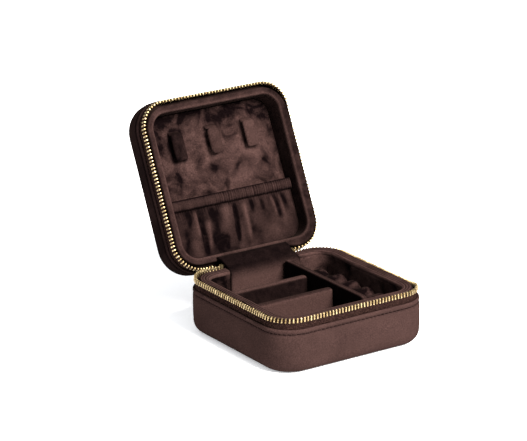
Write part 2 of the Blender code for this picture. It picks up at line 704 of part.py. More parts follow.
def join_by_boolean(made, extras):
    """Fuse extra pieces into an object and drop them."""
    for extra in extras:
        fuse = made.modifiers.new("fuse", "BOOLEAN")
        fuse.operation = "UNION"
        fuse.solver = "EXACT"
        fuse.object = extra
        extra.hide_render = True
        extra.display_type = "WIRE"


def build_slider(at):
    pivot = pivot_empty("zip_slider_travel", (TAIL_OFFSET, (at["tail_in"] + at["tail_out"]) / 2,
                                              at["slider_low"]))
    left = TAIL_OFFSET - TAIL_WIDTH / 2 - GAP
    right = TAIL_OFFSET + TAIL_WIDTH / 2 + GAP
    inner = [(left, at["tail_in"] - GAP), (right, at["tail_in"] - GAP),
             (right, at["tail_out"] + GAP), (left, at["tail_out"] + GAP)]
    wall = SLIDER_WALL
    outer = [(left - wall, at["tail_in"] - GAP - wall), (right + wall, at["tail_in"] - GAP - wall),
             (right + wall, at["plate_out"]), (left - wall, at["plate_out"])]
    slider = add_object("zip_slider", tube(outer, inner, at["slider_low"], at["slider_high"]),
                        metal("slider_brass"), pivot)
    add_bail(at, slider, pivot)
    build_pull(at, pivot)


def add_bail(at, slider, pivot):
    """The bridge on the slider's outer plate that carries the pull."""
    sunk = at["plate_out"] - SLIDER_WALL / 2
    room = at["plate_out"] + BAIL_ROOM
    crest = room + BAIL_WALL
    high = at["bail_z"] + BAIL_HALF_HEIGHT
    low = at["bail_z"] - BAIL_HALF_HEIGHT
    foot = BAIL_WALL
    section = [(sunk, low), (sunk, low + foot), (room, low + foot), (room, high - foot),
               (sunk, high - foot), (sunk, high), (crest, high), (crest, low)]
    bail = add_object("bail_cutter", strip_along_x(section, TAIL_OFFSET - BAIL_WIDTH / 2,
                                                   TAIL_OFFSET + BAIL_WIDTH / 2),
                      metal("bail_brass"), pivot)
    join_by_boolean(slider, [bail])


def build_pull(at, slider_pivot):
    """A flat tab whose top bar turns under the bail. It hangs down at rest."""
    axis = (TAIL_OFFSET, at["bail_y"], at["bail_z"])
    pivot = pivot_empty("zip_pull_pivot", axis, slider_pivot)
    half = PULL_WIDTH / 2
    eye = PULL_EYE_WIDTH / 2
    top = axis[2] + PULL_BAR / 2
    foot = top - PULL_LENGTH
    eye_high = axis[2] - PULL_BAR / 2
    eye_low = eye_high - PULL_EYE_HEIGHT
    front = axis[1] - PULL_THICKNESS / 2
    back = axis[1] + PULL_THICKNESS / 2
    slot_low = foot + PULL_WIDTH / 4
    slot_high = eye_low - PULL_WIDTH / 4
    blank = bevelled_box((TAIL_OFFSET - half, front, foot), (TAIL_OFFSET + half, back, top),
                         PULL_WIDTH / 6, lambda edge: abs(edge_middle(edge).y - axis[1]) < GAP, 3)
    pull = add_object("zip_pull", blank, metal("pull_brass"), pivot)
    through = PULL_THICKNESS
    cutters = [("pull_eye", eye_low, eye_high, eye), ("pull_slot", slot_low, slot_high, half / 3)]
    for name, low, high, width in cutters:
        cutter = add_object(name, box((TAIL_OFFSET - width, front - through, low),
                                      (TAIL_OFFSET + width, back + through, high)),
                            metal(name + "_brass"), pivot)
        cutter.hide_render = True
        cutter.display_type = "WIRE"
        cut = pull.modifiers.new(name, "BOOLEAN")
        cut.operation = "DIFFERENCE"
        cut.solver = "EXACT"
        cut.object = cutter


def main():
    clear_scene()
    build_base_shells()
    build_base_zip()
    build_long_divider()
    build_short_dividers()
    build_base_beds()
    build_ring_rolls()
    build_base_hinge_fabric()

    lid = pivot_empty("lid_pivot", (0.0, HINGE_Y, HINGE_Z))
    lid["empty"].rotation_euler = (-OPEN_ANGLE, 0.0, 0.0)
    build_lid_shells(lid)
    build_lid_zip(lid)
    build_lid_hinge_fabric(lid)
    build_pocket(lid)
    build_tabs(lid)

    at = slider_places()
    build_tail(at)
    build_tail_stop(at)
    build_slider(at)


main()
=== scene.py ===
"""Looks of an open velvet travel jewelry case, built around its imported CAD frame.

Lengths are in millimetres until a mesh is made. Lid pieces are drawn closed, then opened by the hinge.
An outline point is a core point plus its outward normal times (CORNER_RADIUS - inset).
"""

import json
from math import cos, exp, hypot, pi, radians, sin, sqrt, tau

import bmesh
import bpy
from mathutils import Matrix, Vector, noise


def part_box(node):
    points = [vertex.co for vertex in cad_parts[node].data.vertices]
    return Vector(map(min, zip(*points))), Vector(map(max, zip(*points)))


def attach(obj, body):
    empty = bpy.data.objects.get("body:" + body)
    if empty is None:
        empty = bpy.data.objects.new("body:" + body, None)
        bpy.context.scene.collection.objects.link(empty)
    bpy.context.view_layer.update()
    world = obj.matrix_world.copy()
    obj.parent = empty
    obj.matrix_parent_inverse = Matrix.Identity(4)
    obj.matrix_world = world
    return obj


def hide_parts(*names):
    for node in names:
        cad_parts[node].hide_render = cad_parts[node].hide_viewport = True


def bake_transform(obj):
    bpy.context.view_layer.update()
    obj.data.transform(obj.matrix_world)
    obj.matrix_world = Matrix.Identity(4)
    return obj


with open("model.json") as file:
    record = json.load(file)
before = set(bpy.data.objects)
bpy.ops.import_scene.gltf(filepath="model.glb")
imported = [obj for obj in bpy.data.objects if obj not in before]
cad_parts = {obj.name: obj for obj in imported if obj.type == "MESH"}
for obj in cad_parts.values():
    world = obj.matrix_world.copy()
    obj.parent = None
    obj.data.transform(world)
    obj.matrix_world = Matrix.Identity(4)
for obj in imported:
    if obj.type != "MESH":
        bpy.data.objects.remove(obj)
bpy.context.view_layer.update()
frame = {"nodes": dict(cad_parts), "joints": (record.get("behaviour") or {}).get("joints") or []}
MM = 0.001

# ---- the frame's own places

HINGE = next(joint for joint in frame["joints"] if joint["name"] == "lid_hinge")
HINGE_POINT = Vector(HINGE["pos_m"]) / MM
OPENING = Matrix.Rotation(radians(-HINGE["range_deg"][0]), 4, Vector(HINGE["axis"]))
OPEN = Matrix.Translation(HINGE_POINT) @ OPENING @ Matrix.Translation(-HINGE_POINT)
CLOSE = OPEN.inverted()


def box(node):
    """Corners of a CAD node at rest, in millimetres."""
    low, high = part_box(node)
    return low / MM, high / MM


def closed_box(node):
    """Corners of a lid node in the closed case, in millimetres."""
    points = [CLOSE @ (v.co / MM) for v in frame["nodes"][node].data.vertices]
    low = Vector([min(p[i] for p in points) for i in range(3)])
    high = Vector([max(p[i] for p in points) for i in range(3)])
    return low, high


BASE_LOW, BASE_HIGH = box("base_cover")
LID_LOW, LID_HIGH = closed_box("lid_cover")
HALF = BASE_HIGH.x
CORNER_RADIUS = 17.4
STRAIGHT = HALF - CORNER_RADIUS
EDGE_FILLET = 6.8
COVER = 0.9
BACK_HALF = box("hinge_panel_base")[1].x
TAPE_INSET = HALF - box("base_zip_tape")[1].x
LINING_INSET = HALF - box("base_lining")[1].x
LID_LINING_INSET = HALF - closed_box("lid_side_lining")[1].x
LINING = 0.9
TOOTH_PITCH = 2.05
STITCH_PITCH = 2.6
STITCH_DROP = 2.7


# ---- small helpers


def clamp(value, low=0.0, high=1.0):
    return max(low, min(high, value))


def smooth(value):
    value = clamp(value)
    return value * value * (3 - 2 * value)


def rumple(point, size, seed=0.0):
    """Seeded soft noise from -1 to 1 whose features are about size across."""
    return noise.noise(Vector(point) / size + Vector((seed, seed * 1.7, -seed)))


def bell(value, width):
    return exp(-((value / width) ** 2))


def ticks(low, high, edge, step):
    """Values from low to high, closer together within edge of both ends."""
    near = [edge * k for k in (0.0, 0.12, 0.35, 0.65)]
    count = max(2, round((high - low - 2 * edge) / step))
    inner = [low + edge + (high - low - 2 * edge) * i / count for i in range(count + 1)]
    return [low + n for n in near] + inner + [high - n for n in reversed(near)]


def outline_length(inset):
    return 8 * STRAIGHT + tau * (CORNER_RADIUS - inset)


def station(s, inset):
    """Core point and outward normal at distance s clockwise from the middle of the back."""
    radius = CORNER_RADIUS - inset
    quarter = 2 * STRAIGHT + pi / 2 * radius
    turn, s = divmod((s + STRAIGHT) % (4 * quarter), quarter)
    angle = max(0.0, s - 2 * STRAIGHT) / radius
    core = Vector((min(s, 2 * STRAIGHT) - STRAIGHT, STRAIGHT))
    normal = Vector((sin(angle), cos(angle)))
    for _ in range(int(turn)):
        core = Vector((core.y, -core.x))
        normal = Vector((normal.y, -normal.x))
    return core, normal


def outline_point(s, ref, inset, z, shrink=1.0):
    core, normal = station(s, ref)
    xy = (core + normal * (CORNER_RADIUS - inset)) * shrink
    return Vector((xy.x, xy.y, z))


def skin(rows, wrap_rows=False, wrap_points=False, caps=True):
    """Quads between rows of points, and flat caps on the open ends. Returns vertices and faces."""
    across, along = len(rows[0]), len(rows)
    verts = [p for row in rows for p in row]
    faces = []
    for i in range(along if wrap_rows else along - 1):
        for j in range(across if wrap_points else across - 1):
            i2, j2 = (i + 1) % along, (j + 1) % across
            faces.append((i * across + j, i * across + j2, i2 * across + j2, i2 * across + j))
    if caps and wrap_points and not wrap_rows:
        faces.append(tuple(range(across)))
        faces.append(tuple((along - 1) * across + j for j in reversed(range(across))))
    if caps and wrap_rows and not wrap_points:
        faces.append(tuple(i * across for i in range(along)))
        faces.append(tuple(i * across + across - 1 for i in reversed(range(along))))
    return verts, faces


def ring_sweep(section, ref, step, span=None):
    """section(s) gives (inset, z) or (inset, z, shrink) points, swept all round or over span."""
    length = outline_length(ref)
    start, end = span or (0.0, length)
    count = round((end - start) / step)
    steps = range(count) if span is None else range(count + 1)
    places = [start + (end - start) * i / count for i in steps]
    return [[outline_point(s, ref, *p) for p in section(s)] for s in places]


def joined(parts):
    """Several (vertices, faces) as one."""
    verts, faces = [], []
    for more_verts, more_faces in parts:
        start = len(verts)
        verts += more_verts
        faces += [tuple(start + k for k in f) for f in more_faces]
    return verts, faces


def slab(size_a, size_b, thick, corner, edge, step, front, back=None):
    """A soft board centred on 0: its face grid is rounded at the corners in plan and along its edges.
    front(a, b, e) and back(a, b, e) lift a face; e is the distance in from the outline."""
    half_a, half_b, half_c = size_a / 2, size_b / 2, thick / 2
    grid_a = ticks(-half_a, half_a, edge, step)
    grid_b = ticks(-half_b, half_b, edge, step)

    def planned(a, b):
        core_a = clamp(a, corner - half_a, half_a - corner)
        core_b = clamp(b, corner - half_b, half_b - corner)
        da, db = a - core_a, b - core_b
        reach = hypot(da, db)
        if da and db:
            scale = max(abs(da), abs(db)) / reach
            da, db, reach = da * scale, db * scale, reach * scale
            return core_a + da, core_b + db, corner - reach
        return a, b, min(half_a - abs(a), half_b - abs(b))

    rows = {}
    for side, lift in ((1, front), (-1, back or front)):
        rows[side] = []
        for a in grid_a:
            row = []
            for b in grid_b:
                pa, pb, e = planned(a, b)
                short = max(0.0, edge - e)
                c = half_c - edge + sqrt(max(0.0, edge * edge - short * short))
                row.append(Vector((pa, pb, side * (c + lift(pa, pb, e) * smooth(e / edge)))))
            rows[side].append(row)
    verts, faces = skin(rows[1])
    more, other = skin(rows[-1])
    n, m = len(grid_a), len(grid_b)
    rim = [j for j in range(m)] + [i * m + m - 1 for i in range(1, n)]
    rim += [(n - 1) * m + j for j in reversed(range(m - 1))] + [i * m for i in reversed(range(1, n - 1))]
    start = len(verts)
    faces = faces + [tuple(start + k for k in reversed(f)) for f in other]
    verts = verts + more
    for k, here in enumerate(rim):
        there = rim[(k + 1) % len(rim)]
        faces.append((there, here, start + here, start + there))
    return verts, faces


def placed(shape, place):
    verts, faces = shape
    return [place(v) for v in verts], faces


def capsule(start, end, radius, sides=6):
    """A short thread or pin with round ends from start to end."""
    along = (end - start).normalized()
    side = along.orthogonal().normalized()
    up = along.cross(side)
    rows = []
    for t, r in ((-0.6, 0.55), (0.0, 1.0), (1.0, 1.0), (1.6, 0.55)):
        middle = start.lerp(end, clamp(t)) + along * radius * (t if t < 0 else max(0.0, t - 1))
        turn = [tau * k / sides for k in range(sides)]
        rows.append([middle + (side * cos(a) + up * sin(a)) * radius * r for a in turn])
    return skin(rows, wrap_points=True)


# ---- making pieces


def piece(name, shape, material, body=None, stands_for=(), nap_and_shade=None, lid=False, flat_shaded=False):
    """A mesh object from millimetre vertices, with its pile lie and its painted shade and highlight set per
    vertex, riding on its body.
    """
    verts, faces = shape
    # Each vertex's level: the velvet's pile lie together with painted shade and painted highlight.
    nap_and_shade_levels = [clamp(nap_and_shade(v)) if nap_and_shade else 0.5 for v in verts]
    mesh = bpy.data.meshes.new(name)
    mesh.from_pydata([((OPEN @ v) if lid else v) * MM for v in verts], [], faces)
    work = bmesh.new()
    work.from_mesh(mesh)
    bmesh.ops.recalc_face_normals(work, faces=work.faces)
    work.to_mesh(mesh)
    work.free()
    mesh.attributes.new("nap_and_shade", "FLOAT", "POINT").data.foreach_set("value", nap_and_shade_levels)
    mesh.shade_flat() if flat_shaded else mesh.shade_smooth()
    mesh.materials.append(material)
    made = bpy.data.objects.new(name, mesh)
    bpy.context.scene.collection.objects.link(made)
    if stands_for:
        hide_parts(*stands_for)
    if body:
        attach(made, body)
    return made


# ---- materials


class Nodes:
    """A short way to write a material's node graph."""

    def __init__(self, name):
        self.material = bpy.data.materials.new(name)
        self.material.use_nodes = True
        self.tree = self.material.node_tree
        self.shader = self.tree.nodes["Principled BSDF"]

    def node(self, kind, inputs=(), **settings):
        made = self.tree.nodes.new(kind)
        for key, value in settings.items():
            setattr(made, key, value)
        for key, value in dict(inputs).items():
            if isinstance(value, bpy.types.NodeSocket):
                self.tree.links.new(value, made.inputs[key])
            else:
                made.inputs[key].default_value = value
        return made

    def set(self, **values):
        for key, value in values.items():
            socket = self.shader.inputs[key.replace("_", " ")]
            if isinstance(value, bpy.types.NodeSocket):
                self.tree.links.new(value, socket)
            else:
                socket.default_value = value

    def place(self):
        return self.node("ShaderNodeTexCoord").outputs["Object"]

    def noise(self, size, detail=2.0, distortion=0.0, rough=0.5, where=None):
        """Noise with features about size millimetres across."""
        inputs = {"Vector": where or self.place(), "Scale": 1 / (size * MM)}
        inputs.update({"Detail": detail, "Distortion": distortion, "Roughness": rough})
        return self.node("ShaderNodeTexNoise", inputs).outputs["Fac"]

    def math(self, operation, a, b=0.0, c=0.0, hold=False):
        made = self.node("ShaderNodeMath", {0: a, 1: b, 2: c}, operation=operation)
        made.use_clamp = hold
        return made.outputs[0]

    def spread(self, value, low, high, to_low=0.0, to_high=1.0):
        inputs = {"Value": value, "From Min": low, "From Max": high, "To Min": to_low, "To Max": to_high}
        return self.node("ShaderNodeMapRange", inputs).outputs["Result"]

    def mix(self, factor, a, b):
        made = self.node("ShaderNodeMix", data_type="RGBA")
        for key, value in ((0, factor), (6, a), (7, b)):
            if isinstance(value, bpy.types.NodeSocket):
                self.tree.links.new(value, made.inputs[key])
            else:
                made.inputs[key].default_value = value
        return made.outputs[2]

    def bump(self, height, distance, strength=1.0, under=None):
        inputs = {"Height": height, "Distance": distance * MM, "Strength": strength}
        if under:
            inputs["Normal"] = under
        return self.node("ShaderNodeBump", inputs).outputs["Normal"]


def velvet(name, dark, light, patch_size, patch_gain, fine_gain=0.5, sheen=0.2):
    """Short-pile velvet: a per-vertex level that carries the pile lie and painted shade and highlight, soft
    lighter and darker patches, and the grain of the pile.
    """
    g = Nodes(name)
    # The per-vertex level mixes dark to light: pile lie, painted shade and painted highlight.
    painted = g.node("ShaderNodeAttribute", attribute_name="nap_and_shade").outputs["Fac"]
    patches = g.noise(patch_size, detail=4.0, distortion=0.7, rough=0.6)
    patches = g.spread(patches, 0.32, 0.68, -patch_gain, patch_gain)
    level = g.math("ADD", painted, patches, hold=True)
    pile = g.noise(0.55, detail=3.0, rough=0.7)
    strands = g.spread(pile, 0.3, 0.7, 1 - fine_gain, 1 + fine_gain)
    colour = g.mix(level, (*dark, 1), (*light, 1))
    grained = g.node("ShaderNodeMix", data_type="RGBA", blend_type="MULTIPLY")
    grained.inputs[0].default_value = 1.0
    g.tree.links.new(colour, grained.inputs[6])
    grey = g.node("ShaderNodeCombineColor", {"Red": strands, "Green": strands, "Blue": strands})
    g.tree.links.new(grey.outputs[0], grained.inputs[7])
    soft = g.bump(g.noise(3.2, detail=2.0), 0.35, 0.5)
    hairy = g.bump(pile, 0.16, 0.55, under=soft)
    g.set(Base_Color=grained.outputs[2], Roughness=0.95, Normal=hairy)
    g.set(Sheen_Weight=sheen, Sheen_Roughness=0.45, Sheen_Tint=(0.62, 0.42, 0.36, 1.0))
    g.set(Specular_IOR_Level=0.0)
    return g.material


def brass(name, tint, deep):
    """Plated brass: a soft random mottle from bright to darker lacquered tones, fine tumbling marks."""
    g = Nodes(name)
    cloud = g.noise(1.6, detail=4.0, distortion=0.6)
    colour = g.mix(g.spread(cloud, 0.35, 0.7), (*deep, 1), (*tint, 1))
    marks = g.noise(0.12, detail=2.0)
    g.set(Base_Color=colour, Metallic=1.0)
    g.set(Roughness=g.spread(cloud, 0.3, 0.7, 0.48, 0.34))
    g.set(Normal=g.bump(marks, 0.01, 0.4))
    return g.material


def woven_tape(name, dark, light):
    """Zip tape: twill ribs across the band, read from the band's own arc length and height."""
    g = Nodes(name)
    uv = g.node("ShaderNodeUVMap").outputs["UV"]
    parts = g.node("ShaderNodeSeparateXYZ", {"Vector": uv})
    lean = g.math("MULTIPLY_ADD", parts.outputs["Y"], 0.8, parts.outputs["X"])
    ribs = g.math("SINE", g.math("MULTIPLY", lean, tau / (0.62 * MM)))
    picks = g.math("SINE", g.math("MULTIPLY", parts.outputs["Y"], tau / (0.55 * MM)))
    weave = g.math("MULTIPLY", g.math("ADD", ribs, 1.0), g.math("ADD", picks, 1.0))
    thread = g.noise(0.35, detail=2.0)
    level = g.math("MULTIPLY", g.math("MULTIPLY", weave, 0.3), g.spread(thread, 0.35, 0.7), hold=True)
    g.set(Base_Color=g.mix(level, (*dark, 1), (*light, 1)), Roughness=0.75)
    g.set(Normal=g.bump(weave, 0.12, 0.8), Specular_IOR_Level=0.0)
    return g.material


def thread_material(name, tint):
    g = Nodes(name)
    twist = g.noise(0.25, detail=2.0)
    dark = tuple(c * 0.45 for c in tint)
    g.set(Base_Color=g.mix(g.spread(twist, 0.3, 0.7), (*dark, 1), (*tint, 1)), Roughness=0.8)
    g.set(Normal=g.bump(twist, 0.05, 0.7), Specular_IOR_Level=0.0)
    return g.material


def plain_procedural(name, dark, light, size, rough, depth, metal=0.0):
    """Board, foam, elastic, steel: a mottled surface with its own grain."""
    g = Nodes(name)
    grain = g.noise(size, detail=4.0, rough=0.6)
    cloud = g.noise(size * 9, detail=2.0)
    level = g.math("ADD", g.spread(grain, 0.3, 0.7, 0.0, 0.6), g.spread(cloud, 0.3, 0.7, 0.0, 0.4), hold=True)
    g.set(Base_Color=g.mix(level, (*dark, 1), (*light, 1)), Metallic=metal)
    g.set(Roughness=g.spread(grain, 0.3, 0.7, rough * 0.85, rough))
    g.set(Normal=g.bump(grain, depth, 0.6))
    return g.material


OUTER = velvet("outer_velvet_look", (0.0034, 0.0020, 0.0020), (0.0310, 0.0172, 0.0154), 22, 0.10, 0.5, 0.01)
INNER_DARK, INNER_LIGHT = (0.0014, 0.0008, 0.0009), (0.0330, 0.0182, 0.0162)
PLUSH_DARK = (0.0018, 0.0010, 0.0011)
INNER = velvet("inner_velvet_look", INNER_DARK, INNER_LIGHT, 9, 0.34, 0.5, 0.01)
CALM = velvet("inner_velvet_smooth_look", INNER_DARK, INNER_LIGHT, 7, 0.10, 0.5, 0.01)
EVEN = velvet("inner_velvet_even_look", INNER_DARK, INNER_LIGHT, 6, 0.035, 0.55, 0.01)
PLUSH = velvet("inner_velvet_brushed_look", PLUSH_DARK, INNER_LIGHT, 11, 0.42, 0.65, 0.01)
BRASS = brass("zip_brass_look", (0.475, 0.378, 0.212), (0.155, 0.103, 0.042))
TAPE = woven_tape("zip_tape_look", (0.0042, 0.0022, 0.0020), (0.092, 0.048, 0.040))
THREAD = thread_material("stitch_thread_look", (0.0030, 0.0017, 0.0017))
STEEL = plain_procedural("snap_steel_look", (0.35, 0.34, 0.33), (0.62, 0.61, 0.60), 0.3, 0.3, 0.01, 1.0)
BOARD = plain_procedural("board_look", (0.10, 0.075, 0.055), (0.20, 0.16, 0.12), 0.8, 0.9, 0.05)
FOAM = plain_procedural("foam_look", (0.05, 0.04, 0.04), (0.11, 0.09, 0.085), 0.5, 0.95, 0.15)
ELASTIC = plain_procedural("elastic_look", (0.02, 0.015, 0.014), (0.05, 0.035, 0.032), 0.4, 0.8, 0.1)

LOOKS = {"outer_velvet": OUTER, "inner_velvet": INNER, "zip_tape": TAPE, "zip_brass": BRASS}
LOOKS.update({"snap_steel": STEEL, "board": BOARD, "foam": FOAM, "elastic": ELASTIC})
for node in frame["nodes"].values():
    for index, material in enumerate(node.data.materials):
        known = next((k for k in LOOKS if material and material.name.startswith(k)), None)
        if known:
            node.material_slots[index].material = LOOKS[known]

# ---- outer shells


def shell(depth, seed):
    """Half of the case's skin: (height under the rim) profile from outer face to rim to inner face."""
    stitch = STITCH_DROP
    hem = 0.55
    fold = TAPE_INSET - 0.1

    def section(s):
        swell = 0.28 + 0.12 * rumple((s, 0, 0), 30, seed)
        wave = 0.10 * rumple((s, 9, 0), 14, seed)
        pull = 0.5 + 0.5 * cos(tau * s / STITCH_PITCH)
        points = [(EDGE_FILLET, depth, k) for k in (0.02, 0.3, 0.55, 0.75, 0.9)]
        for k in range(9):
            a = pi / 2 * k / 8
            points.append((EDGE_FILLET * (1 - sin(a)), depth - EDGE_FILLET * (1 - cos(a)), 1.0))
        wall = depth - EDGE_FILLET
        rows = 22
        for k in range(1, rows + 1):
            h = wall + (hem - wall) * k / rows
            bulge = swell * sin(pi * clamp((wall - h) / (wall - stitch))) ** 0.7 if h > stitch else 0.0
            plump = 0.14 * sin(pi * clamp(h / stitch))
            valley = (0.34 + 0.16 * pull) * bell(h - stitch, 0.55)
            points.append((0.08 - bulge - plump + valley + wave * (1 - h / depth), h, 1.0))
        for k in range(7):
            a = pi * k / 6
            points.append((fold / 2 - fold / 2 * cos(a) + 0.02, hem - hem * sin(a) + wave * 0.5, 1.0))
        points.append((fold + 0.02, wall * 0.5, 1.0))
        inner = EDGE_FILLET - COVER
        for k in range(6):
            a = pi / 2 * k / 5
            low = depth - COVER - inner + inner * sin(a)
            points.append((COVER + inner - inner * cos(a), low, 1.0))
        points += [(EDGE_FILLET, depth - COVER, k) for k in (0.8, 0.4, 0.02)]
        return points

    return section


def shell_piece(name, node, body, rim, sign, seed, lid, side_nap):
    depth = abs((BASE_LOW.z if sign < 0 else LID_HIGH.z) - rim)
    profile = shell(depth, seed)

    def section(s):
        return [(inset, rim + sign * h, k) for inset, h, k in profile(s)]

    rows = ring_sweep(section, 0.0, 0.65)
    skin_shape = skin(rows, wrap_rows=True)

    def nap_and_shade(p):
        h = abs(p.z - rim)
        level = side_nap + (0.55 - side_nap) * smooth((h - depth + 2.0) / 1.5)
        # Painted shade along the stitch line's valley, and a painted highlight along the fold at the rim.
        groove_shade, lip_highlight = 0.30 * bell(h - STITCH_DROP, 0.5), 0.10 * bell(h - 0.5, 0.8)
        return level + 0.06 * rumple(p, 18, seed) - groove_shade + lip_highlight

    made = piece(name, skin_shape, OUTER, body, (node,), nap_and_shade, lid)
    length = outline_length(0.0)
    count = round(length / STITCH_PITCH)
    stitches = []
    for k in range(count):
        s = length * (k + 0.5) / count
        half = STITCH_PITCH * 0.36
        z = rim + sign * STITCH_DROP
        start = outline_point(s - half, 0.0, 0.34, z)
        end = outline_point(s + half, 0.0, 0.34, z + 0.12)
        stitches.append(capsule(start, end, 0.27))
    thread = piece(f"{name}_stitches", joined(stitches), THREAD, body, (), None, lid)
    return made, thread


shell_piece("base_shell", "base_cover", "base", BASE_HIGH.z, -1, 3.1, False, 0.62)
shell_piece("lid_shell", "lid_cover", "lid", LID_LOW.z, 1, 7.7, True, 0.07)

# ---- zip: tapes and teeth


def open_span(ref):
    """The distance along the outline that the zip covers, from the right of the back round to its left."""
    return BACK_HALF + 0.5, outline_length(ref) - BACK_HALF - 0.5


TAPE_THICK = 0.5
TAPE_MIDDLE = TAPE_INSET + TAPE_THICK / 2


def weave_map(made, spot):
    """Tells the woven look where each vertex lies on its tape, as millimetres along and across it."""
    layer = made.data.uv_layers.new(name="UVMap")
    for loop in made.data.loops:
        along, across = spot(loop.vertex_index)
        layer.data[loop.index].uv = (along * MM, across * MM)


def tape_piece(name, node, body, edge, hidden, lid):
    """edge is the height of the bare edge that the teeth grip, hidden the edge under the board."""
    sign = 1 if edge > hidden else -1
    bead = 0.42
    edge += sign * 0.9

    top = edge

    def section(s):
        ripple = 0.12 * rumple((s, 0, 0), 9, 4.4)
        edge = top - sign * chain_dip(s, TAPE_MIDDLE, lid)
        points = []
        for k in range(7):
            t = k / 6
            points.append((TAPE_INSET + ripple * t, hidden + (edge - sign * 0.5 - hidden) * t))
        for k in range(1, 8):
            a = pi * k / 8
            points.append((TAPE_MIDDLE + ripple - bead * cos(a), edge - sign * 0.1 + sign * bead * sin(a)))
        for k in range(7):
            t = 1 - k / 6
            points.append((TAPE_INSET + TAPE_THICK + ripple * t, hidden + (edge - sign * 0.5 - hidden) * t))
        return points

    rows = ring_sweep(section, TAPE_MIDDLE, 0.9, open_span(TAPE_MIDDLE))
    shape = skin(rows, wrap_points=True)
    made = piece(name, shape, TAPE, body, (node,), None, lid)
    start, end = open_span(TAPE_MIDDLE)
    across = len(rows[0])
    weave_map(made, lambda i: (start + (end - start) * (i // across) / (len(rows) - 1), shape[0][i].z))
    return made


def tooth():
    """One zip element on the origin: x runs along the tape, y through it, z away from it."""
    right = [(0.34, -0.05), (0.36, 0.62), (0.18, 0.9)]
    outer = [(0.0, 2.50), (0.40, 2.44), (0.68, 2.15), (0.78, 1.75), (0.72, 1.3), (0.80, 0.9), (0.92, 0.55)]
    outer += [(0.92, 0.05), (0.80, -0.12), (0.60, -0.15)]
    half = outer + right
    profile = half + [(-y, z) for y, z in reversed(half) if y]
    rows = []
    for x, scale in ((-1, 0.86), (-0.8, 1.0), (0.8, 1.0), (1, 0.86)):
        row = []
        for y, z in profile:
            wide = 0.42 - 0.09 * smooth((z - 0.3) / 1.8)
            row.append(Vector((x * wide, y * scale, 0.5 + (z - 0.5) * (0.97 if scale < 1 else 1.0))))
        rows.append(row)
    body = skin(rows, wrap_points=True)
    nib = []
    for x, r in ((0.26, 0.36), (0.40, 0.30), (0.50, 0.16)):
        turn = [tau * k / 8 for k in range(8)]
        nib.append([Vector((x, r * 1.2 * cos(a), 1.85 + r * sin(a))) for a in turn])
    return joined([body, skin(nib, wrap_points=True)])


TOOTH = tooth()


def right_side(s, ref):
    """1 along the right of the case, where the collar has spread over the zip, 0 at its front and left."""
    return smooth((s - BACK_HALF) / 8) * (1 - smooth((s - 0.33 * outline_length(ref)) / 16))


def chain_dip(s, ref, lid):
    """How far the zip sinks behind the collar: as it runs in to the hinge, and along the right."""
    away = min(s, outline_length(ref) - s) - BACK_HALF
    hinge_end = (1.6 if lid else 0.5) * (1 - smooth(away / 16))
    right_end = (2.4 if lid else 0.0) * (1 - smooth((s - BACK_HALF) / 16))
    return hinge_end + 1.5 * right_side(s, ref) + right_end


def teeth_piece(name, node, body, grip, sign, shift, lid):
    """Elements along the tape's edge, at height grip, standing away by sign."""
    start, end = open_span(TAPE_MIDDLE)
    margin = 1.9 + shift * TOOTH_PITCH
    count = round((end - start - 2 * margin) / TOOTH_PITCH)
    pitch = (end - start - 2 * margin) / count
    elements = []
    for k in range(count + 1):
        s = start + margin + k * pitch
        core, normal = station(s, TAPE_MIDDLE)
        ripple = 0.12 * rumple((s, 0, 0), 9, 4.4)
        reach = CORNER_RADIUS - TAPE_MIDDLE - ripple
        height = grip - sign * chain_dip(s, TAPE_MIDDLE, lid)
        origin = Vector((core.x + normal.x * reach, core.y + normal.y * reach, height))
        out = Vector((normal.x, normal.y, 0))
        along = Vector((normal.y, -normal.x, 0))
        tilt = -0.10 + 0.06 * rumple((s, 5, 0), 3, 1.3)
        lean = 0.04 * rumple((s, 8, 0), 2.5, 2.1)
        up = (Vector((0, 0, sign)) + along * tilt + out * lean).normalized()
        place = Matrix((along, out, up)).transposed()
        elements.append(([origin + place @ v for v in TOOTH[0]], TOOTH[1]))
    return piece(name, joined(elements), BRASS, body, (node,), None, lid, True)


BASE_TAPE = box("base_zip_tape")
LID_TAPE = closed_box("lid_zip_tape")
tape_piece("base_tape", "base_zip_tape", "base", BASE_TAPE[1].z, BASE_TAPE[0].z, False)
tape_piece("lid_tape", "lid_zip_tape", "lid", LID_TAPE[0].z, LID_TAPE[1].z, True)
teeth_piece("base_teeth", "base_zip_teeth", "base", box("base_zip_teeth")[0].z, 1, 0.0, False)
teeth_piece("lid_teeth", "lid_zip_teeth", "lid", closed_box("lid_zip_teeth")[1].z, -1, 0.5, True)

# ---- collars and linings


def inset_at(p):
    """How far a point is in from the case's outline."""
    core = Vector((clamp(p.x, -STRAIGHT, STRAIGHT), clamp(p.y, -STRAIGHT, STRAIGHT)))
    return CORNER_RADIUS - hypot(p.x - core.x, p.y - core.y)


def collar_ridge(x, y, inset, seed):
    """The fine lengthwise ridges of the collar's velvet, -1 to 1."""
    drift = 0.8 * rumple((x, y, 0), 19, seed)
    return sin(tau * (inset + drift) / 1.55 + 1.5 * rumple((x, y, inset), 9, seed))


